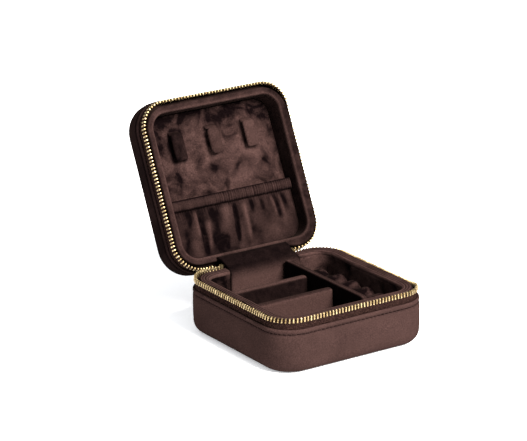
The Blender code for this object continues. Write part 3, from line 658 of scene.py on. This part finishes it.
def collar_section(low, high, outer, inner, flip, wrinkle, seed):
    """A soft roll: outer and inner are insets, low the hidden face and high the one that shows."""
    tall = high - low

    middle = (outer + inner) / 2
    edge = outer

    def section(s):
        points = []
        outer = edge - 1.45 * right_side(s, middle)
        soft = 0.18 * rumple((s, 3, 0), 22, seed)
        strength = wrinkle * (0.55 + 0.75 * rumple((s, 1, 0), 26, seed))
        count = 40
        for k in range(count + 1):
            t = k / count
            inset = outer + (inner - outer) * (0.5 - 0.5 * cos(pi * t)) * 0.35 + (inner - outer) * t * 0.65
            side = min(t, 1 - t)
            height = tall * (1 - (1 - clamp(side / 0.28)) ** 2.6) ** 0.6
            here = outline_point(s, middle, inset, 0.0)
            ridge = collar_ridge(here.x, here.y, inset, seed)
            fade = smooth(side / 0.12)
            sag = -0.28 * smooth(t) * (1 - smooth((t - 0.8) / 0.2))
            lifted = height + (strength * ridge + soft + sag) * fade
            points.append((inset, low + flip * max(0.05, lifted * (1 if flip > 0 else 1))))
        return points

    return section


def collar_piece(name, node, body, low, high, inner, wrinkle, seed, lid, opening, level):
    outer = HALF - box("base_collar")[1].x
    flip = 1 if high > low else -1
    section = collar_section(low, low + abs(high - low), outer, inner, flip, wrinkle, seed)
    tape_side = TAPE_INSET + TAPE_THICK + 0.25
    ref = (outer + inner) / 2

    def closed_section(s):
        """The roll, and under it an apron of the same velvet that closes the slot beside the zip tape."""
        near = outer - 1.45 * right_side(s, ref)
        apron = [(inner - 0.4, 0.4), (outer + 0.3, 0.4), (outer + 0.3, 2.5), (tape_side, 2.5)]
        apron += [(tape_side, 1.9), (near, 1.9)]
        return section(s) + [(inset, low - flip * down) for inset, down in apron]

    span = (opening, outline_length(ref) - opening) if opening else None
    rows = ring_sweep(closed_section, ref, 0.9, span)
    shape = skin(rows, wrap_rows=span is None, wrap_points=True)

    def nap_and_shade(p):
        inset = inset_at(p)
        # Painted highlight along the inner edge of the roll; on the base, painted shade in the ridges'
        # valleys and painted highlight on their tops; painted shade towards the zip tape, and on the lid
        # towards its right.
        lip_highlight = 0.30 * bell(inset - inner + 0.7, 0.9)
        ridge = (0.0 if lid else 1.6) * wrinkle * collar_ridge(p.x, p.y, inset, seed)
        right_shade = 0.12 * smooth((p.x - 30) / 8) if lid else 0.0
        shaded = 0.4 * (1 - smooth((inset - tape_side) / 1.2)) + right_shade
        return level + lip_highlight + ridge - shaded + 0.12 * rumple(p, 7, seed) + 0.08 * rumple(p, 2.0, seed)

    made = piece(name, shape, CALM, body, (node,), nap_and_shade, lid)
    return made


COLLAR = box("base_collar")
LID_COLLAR = closed_box("lid_collar")
BASE_INNER = LINING_INSET + LINING
LID_INNER = LID_LINING_INSET + LINING
collar_piece(
    "base_soft_collar", "base_collar", "base", COLLAR[0].z, COLLAR[1].z, BASE_INNER, 0.22, 2.2, False,
    BACK_HALF + 0.2, 0.46,
)
collar_piece(
    "lid_soft_collar", "lid_collar", "lid", LID_COLLAR[1].z, LID_COLLAR[0].z, LID_INNER, 0.05, 5.5, True,
    None, 0.29,
)


def wall_piece(name, node, body, mouth, floor, outer, lid, seed, look, level, range_):
    """The velvet tray inside a half: wall from its mouth to its floor, with a small fillet between."""
    sign = 1 if floor > mouth else -1
    thick = LINING
    inner = outer + LINING
    bottom = floor - sign * thick
    fillet = 1.2

    def section(s):
        points = []
        for k in range(16):
            t = k / 15
            z = mouth + (bottom - sign * fillet - mouth) * t
            dent = 0.18 * rumple((s, z, 0), 9, seed) * smooth(t * 6)
            points.append((inner + dent - 0.12 * (1 - t), z, 1.0))
        for k in range(1, 5):
            a = pi / 2 * k / 4
            points.append((inner + fillet * (1 - cos(a)), bottom - sign * fillet * (1 - sin(a)), 1.0))
        points += [(inner + fillet, bottom, k) for k in (0.85, 0.6, 0.3, 0.03)]
        points += [(inner + fillet, floor, k) for k in (0.03, 0.5, 0.9)]
        points += [(outer, floor - sign * 0.4, 1.0), (outer, mouth, 1.0)]
        return points

    shape = skin(ring_sweep(section, outer, 0.9), wrap_rows=True, wrap_points=True)

    def nap_and_shade(p):
        corner = 0.34 * smooth((-p.x - 24) / 4) * smooth((p.y - 26) / 6)
        return level - corner + range_ * rumple(p, 8, seed) + 0.3 * range_ * rumple(p, 3, seed + 1)

    return piece(name, shape, look, body, (node,), nap_and_shade, lid)


BASE_WALL = box("base_lining")
LID_WALL = closed_box("lid_side_lining")
wall_piece(
    "base_velvet_tray", "base_lining", "base", BASE_WALL[1].z + 0.3, BASE_WALL[0].z, LINING_INSET, False, 1.4,
    INNER, 0.50, 0.40,
)
wall_piece(
    "lid_velvet_tray", "lid_side_lining", "lid", LID_WALL[0].z - 0.3, LID_WALL[1].z, LID_LINING_INSET, True,
    8.3, CALM, 0.16, 0.10,
)

# ---- floor, dividers, ring rolls


def board_piece(name, node, body, axes, corner, edge, step, lift, nap_and_shade, material=INNER, back=None):
    """A soft board that fills a CAD node's box; axes are the box axes of its length, width, thickness."""
    low, high = box(node)
    size = high - low
    middle = (low + high) / 2
    a, b, c = axes

    def place(v):
        p = middle.copy()
        p[a] += v.x
        p[b] += v.y
        p[c] += v.z
        return p

    shape = placed(slab(size[a], size[b], size[c], corner, edge, step, lift, back), place)
    made = piece(name, shape, material, body, (node,), nap_and_shade)
    return made


def soft_lift(amount, size, seed):
    def lift(a, b, e):
        return amount * rumple((a, b, 0), size, seed)

    return lift


LONG_DIVIDER = box("long_divider")
LONG_CORNER = 3.8


def divider_shading_and_tone(p):
    """Painted shade on the left face, painted highlight along its top edge and round the rounded rear top
    corner.
    """
    low, high = LONG_DIVIDER
    # Painted shade on the left face; painted highlight along the top of that face and round the rounded rear
    # top corner.
    left = 1 - smooth((p.x - low.x) / 0.5)
    rear, upper = max(0.0, p.y - high.y + LONG_CORNER), max(0.0, p.z - high.z + LONG_CORNER)
    corner_highlight_mask = smooth(1 - (LONG_CORNER - hypot(rear, upper)) / 1.5)
    rim = corner_highlight_mask * smooth((p.y - 32) / 3) * smooth((p.z - 22) / 4)
    edge = 0.34 * bell(p.x - low.x - 0.7, 0.35) * smooth((p.z - 29.8) / 0.8)
    face = 0.28 + edge - 0.60 * left * (1 - rim) + 0.08 * rumple(p, 5, 1.0)
    return face + 0.4 * rim


board_piece(
    "floor_cushion", "floor_pad", "base", (0, 1, 2), 6.0, 0.9, 1.6,
    soft_lift(0.22, 9, 0.7), lambda p: 0.35 + 0.4 * rumple(p, 12, 2.0),
)
board_piece(
    "long_divider_velvet", "long_divider", "base", (1, 2, 0), LONG_CORNER, 1.45, 0.9,
    soft_lift(0.16, 11, 4.0), divider_shading_and_tone, EVEN,
)


def rear_nap(p):
    top = smooth((p.z - 27.2) / 0.8)
    return 0.09 + 0.56 * top + 0.05 * rumple(p, 2.2, 6.0)


def front_nap(p):
    top = smooth((p.z - 27.4) / 0.8)
    return 0.80 - 0.52 * top + 0.07 * rumple(p, 2.2, 3.0)


board_piece(
    "rear_divider_velvet", "rear_short_divider", "rear_short_divider", (0, 2, 1), 2.2, 1.6, 1.2,
    soft_lift(0.2, 8, 5.0), rear_nap, EVEN,
)
board_piece(
    "front_divider_velvet", "front_short_divider", "front_short_divider", (0, 2, 1), 2.2, 1.6, 1.2,
    soft_lift(0.2, 8, 6.0), front_nap, EVEN,
)
board_piece(
    "ring_bed_velvet", "ring_bed", "base", (0, 1, 2), 3.0, 0.8, 1.8,
    soft_lift(0.2, 6, 9.0), lambda p: 0.15 + 0.3 * rumple(p, 6, 3.0),
)


def roll_piece(index):
    """A foam roll in velvet, lying along X: slightly slack, with pinched round ends."""
    node = f"ring_roll_{index}"
    low, high = box(node)
    radius = (high.y - low.y) / 2
    middle = (low + high) / 2
    rows = []
    count = 26
    for i in range(count + 1):
        t = i / count
        x = low.x + (high.x - low.x) * (0.5 - 0.5 * cos(pi * t))
        near = min(x - low.x, high.x - x)
        dome = sqrt(max(0.0, 1 - (1 - clamp(near / 3.2)) ** 2))
        reach = 0.30 + 0.70 * dome if 0 < i < count else 0.30
        row = []
        for k in range(28):
            a = tau * k / 28
            soft = 1 + 0.05 * rumple((x, 6 * cos(a), 6 * sin(a)), 4.5, index * 2.3)
            squashed = 0.97 if sin(a) > 0 else 1.0
            y = middle.y + radius * 1.03 * reach * soft * cos(a)
            z = middle.z + radius * reach * soft * squashed * sin(a)
            row.append(Vector((x, y, z)))
        rows.append(row)

    def nap_and_shade(p):
        return 0.16 + 0.16 * rumple(p, 5, index * 1.1) + 0.12 * rumple(p, 2, index)

    shape = skin(rows, wrap_points=True)
    made = piece(f"ring_roll_velvet_{index}", shape, PLUSH, "base", (node,), nap_and_shade)


for number in range(1, 7):
    roll_piece(number)

# ---- hinge: inner panel and outer spine


def curve_points(knots, count):
    """Points on a smooth curve through knots (a Catmull-Rom spline), about evenly spread."""
    dense = []
    padded = [knots[0] * 2 - knots[1]] + knots + [knots[-1] * 2 - knots[-2]]
    for k in range(1, len(padded) - 2):
        p0, p1, p2, p3 = padded[k - 1 : k + 3]
        for i in range(24):
            t = i / 24
            a = p1 * 2 + (p2 - p0) * t + (p0 * 2 - p1 * 5 + p2 * 4 - p3) * t * t
            dense.append((a + (p1 * 3 - p0 - p2 * 3 + p3) * t**3) * 0.5)
    dense.append(knots[-1].copy())
    run = [0.0]
    for a, b in zip(dense, dense[1:]):
        run.append(run[-1] + (b - a).length)
    out, at = [], 0
    for i in range(count + 1):
        want = run[-1] * i / count
        while at < len(run) - 2 and run[at + 1] < want:
            at += 1
        share = (want - run[at]) / max(1e-9, run[at + 1] - run[at])
        out.append(dense[at].lerp(dense[at + 1], share))
    return out, run[-1]


def ribbon(knots, half_width, thick, count, across, edge_width, waves):
    """A closed thin sheet along a (y, z) curve: rows run along the curve, points round its section."""
    points, length = curve_points([Vector((0, y, z)) for y, z in knots], count)
    rows = []
    for i, p in enumerate(points):
        ahead = points[min(i + 1, count)] - points[max(i - 1, 0)]
        normal = Vector((0, ahead.z, -ahead.y)).normalized()
        half = half_width - edge_width(i / count)
        row = []
        for side in (1, -1):
            for k in range(across + 1):
                x = (-half + 2 * half * k / across) * side
                lift = waves(x, i / count)
                row.append(Vector((x, p.y, p.z)) + normal * (lift + side * thick / 2))
        rows.append(row)
    return skin(rows, wrap_points=True), length


PANEL_BASE = box("hinge_panel_base")
PANEL_LID = box("hinge_panel_lid")
PANEL_THICK = 0.8
face = PANEL_BASE[0].y + PANEL_THICK / 2
panel_knots = [(face, PANEL_BASE[0].z), (face, 14.0), (face, 21.0), (face, 26.5), (face + 0.8, 29.0)]
panel_knots += [(PANEL_BASE[1].y, PANEL_BASE[1].z - 0.3), (PANEL_LID[0].y - 3.5, PANEL_LID[0].z - 1.5)]
panel_knots += [(PANEL_LID[0].y, PANEL_LID[0].z + 0.1), (PANEL_LID[1].y, PANEL_LID[1].z - 0.35)]
panel_shape, panel_length = ribbon(
    panel_knots, BACK_HALF, PANEL_THICK, 60, 46,
    lambda t: 0.9 * bell(t - 0.78, 0.13),
    lambda x, t: 0.18 * rumple((x, t * 38, 0), 9, 3.3) * smooth(4 * t) * smooth(6 * (1 - t)),
)


def panel_tone(p):
    # Darker up the slope that rises to the lid and along both side seams.
    slope = smooth((p.z - 23.5) / 8.0)
    seam = bell(abs(p.x) - BACK_HALF + 0.4, 0.5)
    return 0.86 - 0.82 * slope - 0.4 * seam + 0.04 * rumple(p, 9, 5.0)


panel = piece(
    "hinge_panel_velvet", panel_shape, EVEN, None, ("hinge_panel_base", "hinge_panel_lid"),
    panel_tone,
)
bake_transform(panel)

SPINE_BASE = box("hinge_spine_base")
SPINE_LID = closed_box("hinge_spine_lid")
SPINE_MIDDLE = (SPINE_BASE[0].y + SPINE_BASE[1].y) / 2
spine_lid = [OPEN @ Vector((0, SPINE_MIDDLE, SPINE_LID[0].z + d)) for d in (0.6, 3.4, 6.8)]
spine_knots = [(SPINE_MIDDLE, SPINE_BASE[0].z), (SPINE_MIDDLE, SPINE_BASE[0].z + 2.0)]
spine_knots += [(SPINE_MIDDLE + 0.05, SPINE_BASE[1].z), (SPINE_MIDDLE + 0.55, SPINE_BASE[1].z + 0.85)]
spine_knots += [(p.y, p.z) for p in spine_lid]
spine_shape, spine_length = ribbon(
    spine_knots, BACK_HALF, 0.8, 26, 46,
    lambda t: 0.0,
    lambda x, t: 0.06 * rumple((x, t * 12, 0), 7, 6.1),
)
spine = piece(
    "hinge_spine_velvet", spine_shape, OUTER, None, ("hinge_spine_base", "hinge_spine_lid"),
)
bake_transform(spine)

TAIL = box("zip_tail")
TAIL_STOP = box("zip_tail_stop")
tail_y = (TAIL_STOP[0].y + TAIL_STOP[1].y) / 2
tail_knots = [(TAIL[0].y, TAIL[1].z - 0.4), (tail_y - 1.4, TAIL[1].z - 0.4), (tail_y - 0.3, TAIL[1].z - 0.9)]
tail_knots += [(tail_y, TAIL[1].z - 2.0), (tail_y, TAIL[0].z + 6), (tail_y, TAIL[0].z)]
tail_shape, tail_length = ribbon(
    tail_knots, (TAIL[1].x - TAIL[0].x) / 2, 0.7, 44, 14,
    lambda t: 0.0,
    lambda x, t: 0.05 * sin(tau * x / 1.1) + 0.05 * sin(tau * t * 16),
)
tail_middle = Vector(((TAIL[0].x + TAIL[1].x) / 2, 0, 0))
tail_placed = placed(tail_shape, lambda v: v + tail_middle)
tail = piece("zip_tail_woven", tail_placed, TAPE, "base", ("zip_tail",))
weave_map(tail, lambda i: (tail_shape[0][i].x, tail_length * (i // 30) / 44))

# ---- lid: padded ceiling, tabs, pocket


def lid_slab(name, node, body, corner, edge, step, lift, nap_and_shade, material, back=None):
    """A soft board facing down in the closed lid."""
    low, high = closed_box(node)
    size, middle = high - low, (low + high) / 2
    shape = slab(size.x, size.y, size.z, corner, edge, step, lift, back)
    shape = placed(shape, lambda v: middle + Vector((v.x, v.y, -v.z)))
    return piece(name, shape, material, body, (node,), nap_and_shade, True)


def ceiling_lift(a, b, e):
    crown = 0.5 * smooth(e / 9)
    return crown + 0.35 * rumple((a, b, 0), 14, 2.7) + 0.12 * rumple((a, b, 0), 5, 1.1) - 0.5


TAB_BOXES = [closed_box(f"tab_{number}") for number in (1, 2, 3)]
TAB_PLACES = [((low.x + high.x) / 2, low.y, high.y) for low, high in TAB_BOXES]


def ceiling_shading_and_tone(p):
    """Brushed velvet: painted shade under the front wall, painted shadow in a ring right round each tab with
    a lighter ring beyond, and a few pressed marks.
    """
    level = 0.43 + 0.14 * rumple(p, 15, 9.1) - 0.27 * smooth((-p.y - 27) / 9)
    level -= 0.08 * smooth((p.x - 24) / 10) * smooth((-p.y - 20) / 12)
    level -= 0.16 * smooth((-p.x - 18) / 10)
    level += 0.09 * smooth((p.x - 10) / 12) * smooth((p.y + 24) / 8)
    level -= 0.42 * bell(hypot(p.x + 3.6, 0.8 * (p.y + 7.6)), 3.0)
    level -= 0.50 * bell(p.x - 31.5 - 0.9 * (p.y + 5.0), 0.8) * bell(p.y + 5.0, 2.4)
    level -= 0.30 * bell(hypot(p.x + 16, 0.7 * (p.y + 22)), 5.0)
    level -= 0.28 * bell(hypot(0.6 * (p.x - 6), p.y + 34), 4.5)
    # Painted shadow in a ring right round each tab, which stands off the pad, and a lighter ring just beyond
    # it.
    for middle, low, high in TAB_PLACES:
        off = hypot(max(0.0, abs(p.x - middle) - 3.8), max(0.0, low - p.y, p.y - high))
        level += 0.12 * bell(off - 2.8, 1.1) - 0.24 * bell(off, 1.1)
    return level


ceiling = lid_slab(
    "ceiling_cushion", "lid_ceiling_pad", "lid", CORNER_RADIUS - LID_INNER, 1.2, 0.95, ceiling_lift,
    ceiling_shading_and_tone, PLUSH, lambda a, b, e: 0.0,
)

TAB_NAPS = (0.08, 0.46, 0.66)


def tab_root(number, level):
    """The sewn end of a tab: the strap ramps down out of the padded ceiling into the tab."""
    low, high = closed_box(f"tab_{number}_root")
    sewn = high.z + 0.7
    rows = []
    for k in range(13):
        t = k / 12
        y = high.y + 0.7 - (high.y + 0.7 - low.y) * t
        face = low.z + 0.95 + (high.z + 0.5 - low.z - 0.95) * smooth(t * 1.15)
        half = (high.x - low.x) / 2 * (1 - 0.1 * t)
        row = []
        for i in range(17):
            a = pi * i / 16
            wide = abs(cos(a)) ** 0.35 * (1 if cos(a) > 0 else -1)
            row.append(Vector(((low.x + high.x) / 2 - half * wide, y, sewn - (sewn - face) * sin(a) ** 0.35)))
        rows.append(row)

    def nap_and_shade(p):
        return level + (ceiling_shading_and_tone(p) - level) * smooth((high.y - p.y) / (high.y - low.y))

    shape = skin(rows, wrap_points=True)
    node = f"tab_{number}_root"
    return piece(node + "_velvet", shape, CALM, "lid", (node,), nap_and_shade, True)


for number in (1, 2, 3):
    puff = (0.1, 0.75, 0.55)[number - 1]
    corner = (0.9, 3.2, 1.2)[number - 1]
    level = TAB_NAPS[number - 1]

    def tab_lift(a, b, e, puff=puff):
        return puff * smooth(e / 3.0) + 0.06 * rumple((a, b, 0), 3, 3.0)

    def tab_nap(p, level=level):
        return level + 0.1 * rumple(p, 4, 1.9)

    tab = lid_slab(
        f"tab_{number}_velvet", f"tab_{number}", f"tab_{number}", corner, 0.95, 0.6, tab_lift, tab_nap, CALM,
        lambda a, b, e: 0.0,
    )
    root = tab_root(number, level)

HEADER = closed_box("pocket_header")
POCKET = closed_box("pocket_sheet")


def gather(x):
    """Height of the fine gathers along the pocket's mouth, -1 to 1, unevenly spaced."""
    drift = x + 1.2 * rumple((x, 0, 0), 4.5, 3.7)
    return 0.8 * sin(tau * drift / 1.35) + 0.2 * sin(tau * drift / 2.9 + 1.0)


def header_lift(a, b, e):
    strength = 0.05 + 0.17 * smooth((a + 25) / 25)
    return strength * gather(a) * smooth(e / 0.7) + 0.55 * bell(b, 2.2) + 0.2 * rumple((a, b, 0), 5, 1.0)


def header_shading_and_tone(p):
    # Painted shade along both long edges, painted highlight along the middle, and painted light and shade
    # over the gathers.
    shown = 0.05 + 0.17 * smooth((p.x + 25) / 25)
    edges = bell(p.y - HEADER[0].y, 0.8) + bell(p.y - HEADER[1].y, 0.8)
    crest_highlight = 0.10 * bell(p.y - (HEADER[0].y + HEADER[1].y) / 2, 1.8)
    return 0.22 + crest_highlight + shown * gather(p.x) + 0.12 * rumple(p, 5, 2.0) - 0.32 * edges


header = lid_slab(
    "pocket_header_velvet", "pocket_header", "lid", 0.8, 0.7, 0.42, header_lift, header_shading_and_tone, EVEN,
    lambda a, b, e: 0.0,
)

# Each fold of the pocket: x at its mouth, x at its seam, depth, width, and where along it starts and ends.
CREASES = (
    (-22.4, -22.4, 2.1, 1.3, 0.05, 1.0), (2.2, -0.6, 2.3, 1.2, 0.02, 0.92),
    (-29.5, -31.0, 0.7, 1.6, 0.0, 0.45), (13.5, 12.0, 0.9, 1.5, 0.0, 0.4),
    (20.5, 20.0, 0.8, 1.4, 0.0, 0.42), (29.2, 31.5, 1.0, 1.3, 0.0, 0.62),
    (35.0, 37.5, 0.7, 1.4, 0.0, 0.5), (-13.5, -16.0, 0.8, 1.6, 0.0, 0.4),
)
RIDGES = (
    (-25.0, -25.5, 0.8, 1.6, 0.0, 0.7), (-17.0, -20.5, 0.9, 1.7, 0.25, 1.0),
    (7.8, 7.0, 1.0, 1.7, 0.05, 0.95), (26.6, 29.0, 0.6, 1.1, 0.0, 0.6),
    (32.0, 34.2, 0.6, 1.1, 0.0, 0.6), (-4.0, -12.0, 0.8, 4.0, 0.0, 0.8),
)


def along_fold(fold, x, t):
    """How far x is off a fold's line, and how strongly the fold shows at t."""
    mouth, seam, deep, width, start, end = fold
    shown = smooth((t - start + 0.02) / 0.14) * (1 - smooth((t - end + 0.25) / 0.25))
    return x - mouth - (seam - mouth) * t, deep * shown, width


def pocket_drape(x, t):
    """Depth of the pocket cloth: gathers at its mouth (t 0), billows down to its seam (t 1)."""
    depth = 0.25 * gather(x) * (1 - smooth(t * 4))
    for fold in CREASES:
        off, deep, width = along_fold(fold, x, t)
        depth -= 0.75 * deep * exp(-abs(off) / (0.7 * width))
    for fold in RIDGES:
        off, deep, width = along_fold(fold, x, t)
        depth += 0.9 * deep * bell(off, width)
    billow = 0.7 * rumple((x, t * 26, 0), 10, 7.0) + 0.25 * rumple((x, t * 26, 0), 4, 2.2)
    return depth + (0.8 + billow) * smooth(t * 5) * smooth((1 - t) * 3.2)


def pocket_shading_and_tone(x, t):
    """Painted highlight along the ridges and over the gathers, painted shade in the creases, on the billows'
    turned sides and in a few dark hollows; darker towards the left.
    """
    level = 0.28 - 0.17 * smooth(-x / 10) + 0.30 * rumple((x, t * 13, 0), 6, 4.0)
    level += 0.10 * gather(x) * (1 - smooth(t * 3))
    for fold in CREASES:
        off, deep, width = along_fold(fold, x, t)
        level -= 0.40 * deep * bell(off, 1.05 * width)
    for fold in RIDGES:
        off, deep, width = along_fold(fold, x, t)
        level += 0.52 * deep * bell(off, 0.9 * width)
    # Painted shade on the billow's turned side, beside the second fold and in a hollow further right; lighter
    # low on the left.
    level -= 0.42 * bell(hypot(x + 9.5, 20 * (t - 0.68)), 4.6)
    shade_beside_fold = 0.25 * bell(hypot(x - 4.2, 9 * (t - 0.3)), 2.4)
    level -= shade_beside_fold + 0.30 * bell(hypot(x - 13, 26 * (t - 0.72)), 3.6)
    return level + 0.20 * bell(hypot(x + 31, 20 * (t - 0.75)), 7)


def pocket_piece():
    low, high = POCKET
    thick = 0.55
    rows = []
    count_x, count_y = 190, 62
    for i in range(count_y + 1):
        t = i / count_y
        y = low.y - 0.6 + (high.y + 0.6 - low.y) * t
        row = []
        for side in (1, -1):
            for k in range(count_x + 1):
                u = -1 + 2 * k / count_x
                x = u * high.x * side
                corner = CORNER_RADIUS - LID_INNER
                reach = clamp((y - (high.y - corner)) / corner)
                limit = high.x - corner * (1 - sqrt(max(0.0, 1 - reach * reach)))
                x = x / high.x * limit
                z = (low.z + high.z) / 2 + 0.5 - pocket_drape(x, t) - side * thick / 2
                near = smooth((limit - abs(x)) / 2.5)
                z = high.z + 0.5 - side * thick / 2 + (z - high.z - 0.5 + side * thick / 2) * near
                row.append(Vector((x, y, z)))
        rows.append(row)
    area = 0.0
    for upper, lower in zip(rows, rows[1:]):
        for k in range(count_x):
            a, b, c, d = upper[k], upper[k + 1], lower[k + 1], lower[k]
            area += ((c - a).cross(d - b)).length / 2

    def nap_and_shade(p):
        t = (p.y - low.y) / (high.y - low.y)
        return pocket_shading_and_tone(p.x, t)

    shape = skin(rows, wrap_points=True)
    made = piece("pocket_velvet", shape, CALM, "lid", ("pocket_sheet",), nap_and_shade, True)
    long = high.y - low.y + 0.6
    return made, area / long, long


pocket, pocket_width, pocket_long = pocket_piece()

# ---- floor, light, camera


FLOOR_REACH, FLOOR_Z = 6000, -0.05


def backdrop():
    corners = ((-1, -1), (1, -1), (1, 1), (-1, 1))
    verts = [Vector((a * FLOOR_REACH, b * FLOOR_REACH, FLOOR_Z)) * MM for a, b in corners]
    mesh = bpy.data.meshes.new("floor")
    mesh.from_pydata(verts, [], [(0, 1, 2, 3)])
    g = Nodes("floor_look")
    cloud = g.noise(900, detail=1.0)
    g.set(Base_Color=g.mix(cloud, (0.90, 0.90, 0.905, 1), (0.92, 0.92, 0.92, 1)), Roughness=0.9)
    g.set(Specular_IOR_Level=0.1, Emission_Color=(0.97, 0.98, 1.0, 1.0), Emission_Strength=0.36)
    mesh.materials.append(g.material)
    made = bpy.data.objects.new("floor", mesh)
    bpy.context.scene.collection.objects.link(made)


backdrop()
scene = bpy.context.scene
scene.view_settings.view_transform = "Standard"

world = bpy.data.worlds.new("studio")
scene.world = world
world.use_nodes = True
world.node_tree.nodes["Background"].inputs["Color"].default_value = (0.97, 0.985, 1.0, 1.0)
world.node_tree.nodes["Background"].inputs["Strength"].default_value = 1.05


def area_light(name, azimuth, elevation, distance, size, power, tint, target=Vector((0, 0.02, 0.05))):
    """A soft box at an azimuth (0 in front of the case, 90 at its right) and elevation, in degrees."""
    a, e = radians(azimuth), radians(elevation)
    where = target + Vector((sin(a) * cos(e), -cos(a) * cos(e), sin(e))) * distance
    lamp = bpy.data.lights.new(name, "AREA")
    lamp.shape = "DISK"
    lamp.size = size
    lamp.energy = power
    lamp.color = tint
    made = bpy.data.objects.new(name, lamp)
    made.location = where
    made.rotation_euler = (target - where).to_track_quat("-Z", "Y").to_euler()
    scene.collection.objects.link(made)


area_light("key_softbox", 12, 40, 1.6, 0.7, 132, (1.0, 0.95, 0.90))

CAMERA_AZIMUTH, CAMERA_ELEVATION, CAMERA_ROLL = radians(-33.24), radians(18.43), radians(-0.855)
CAMERA_PLACE = Vector((-0.84369, -1.24609, 0.56844))
FOCAL_PIXELS, IMAGE_WIDTH, SENSOR = 2890.58, 527, 36.0
back_flat = cos(CAMERA_ELEVATION)
back_x, back_y = sin(CAMERA_AZIMUTH) * back_flat, -cos(CAMERA_AZIMUTH) * back_flat
back = Vector((back_x, back_y, sin(CAMERA_ELEVATION)))
right = Vector((cos(CAMERA_AZIMUTH), sin(CAMERA_AZIMUTH), 0))
up = back.cross(right)
rolled_right = right * cos(CAMERA_ROLL) + up * sin(CAMERA_ROLL)
rolled_up = up * cos(CAMERA_ROLL) - right * sin(CAMERA_ROLL)
lens = bpy.data.cameras.new("camera")
lens.lens = FOCAL_PIXELS * SENSOR / IMAGE_WIDTH
lens.sensor_width = SENSOR
lens.clip_start = 0.05
camera = bpy.data.objects.new("camera", lens)
camera_turn = Matrix((rolled_right, rolled_up, back)).transposed().to_4x4()
camera.matrix_world = Matrix.Translation(CAMERA_PLACE) @ camera_turn
scene.collection.objects.link(camera)
scene.camera = camera

bpy.context.view_layer.update()
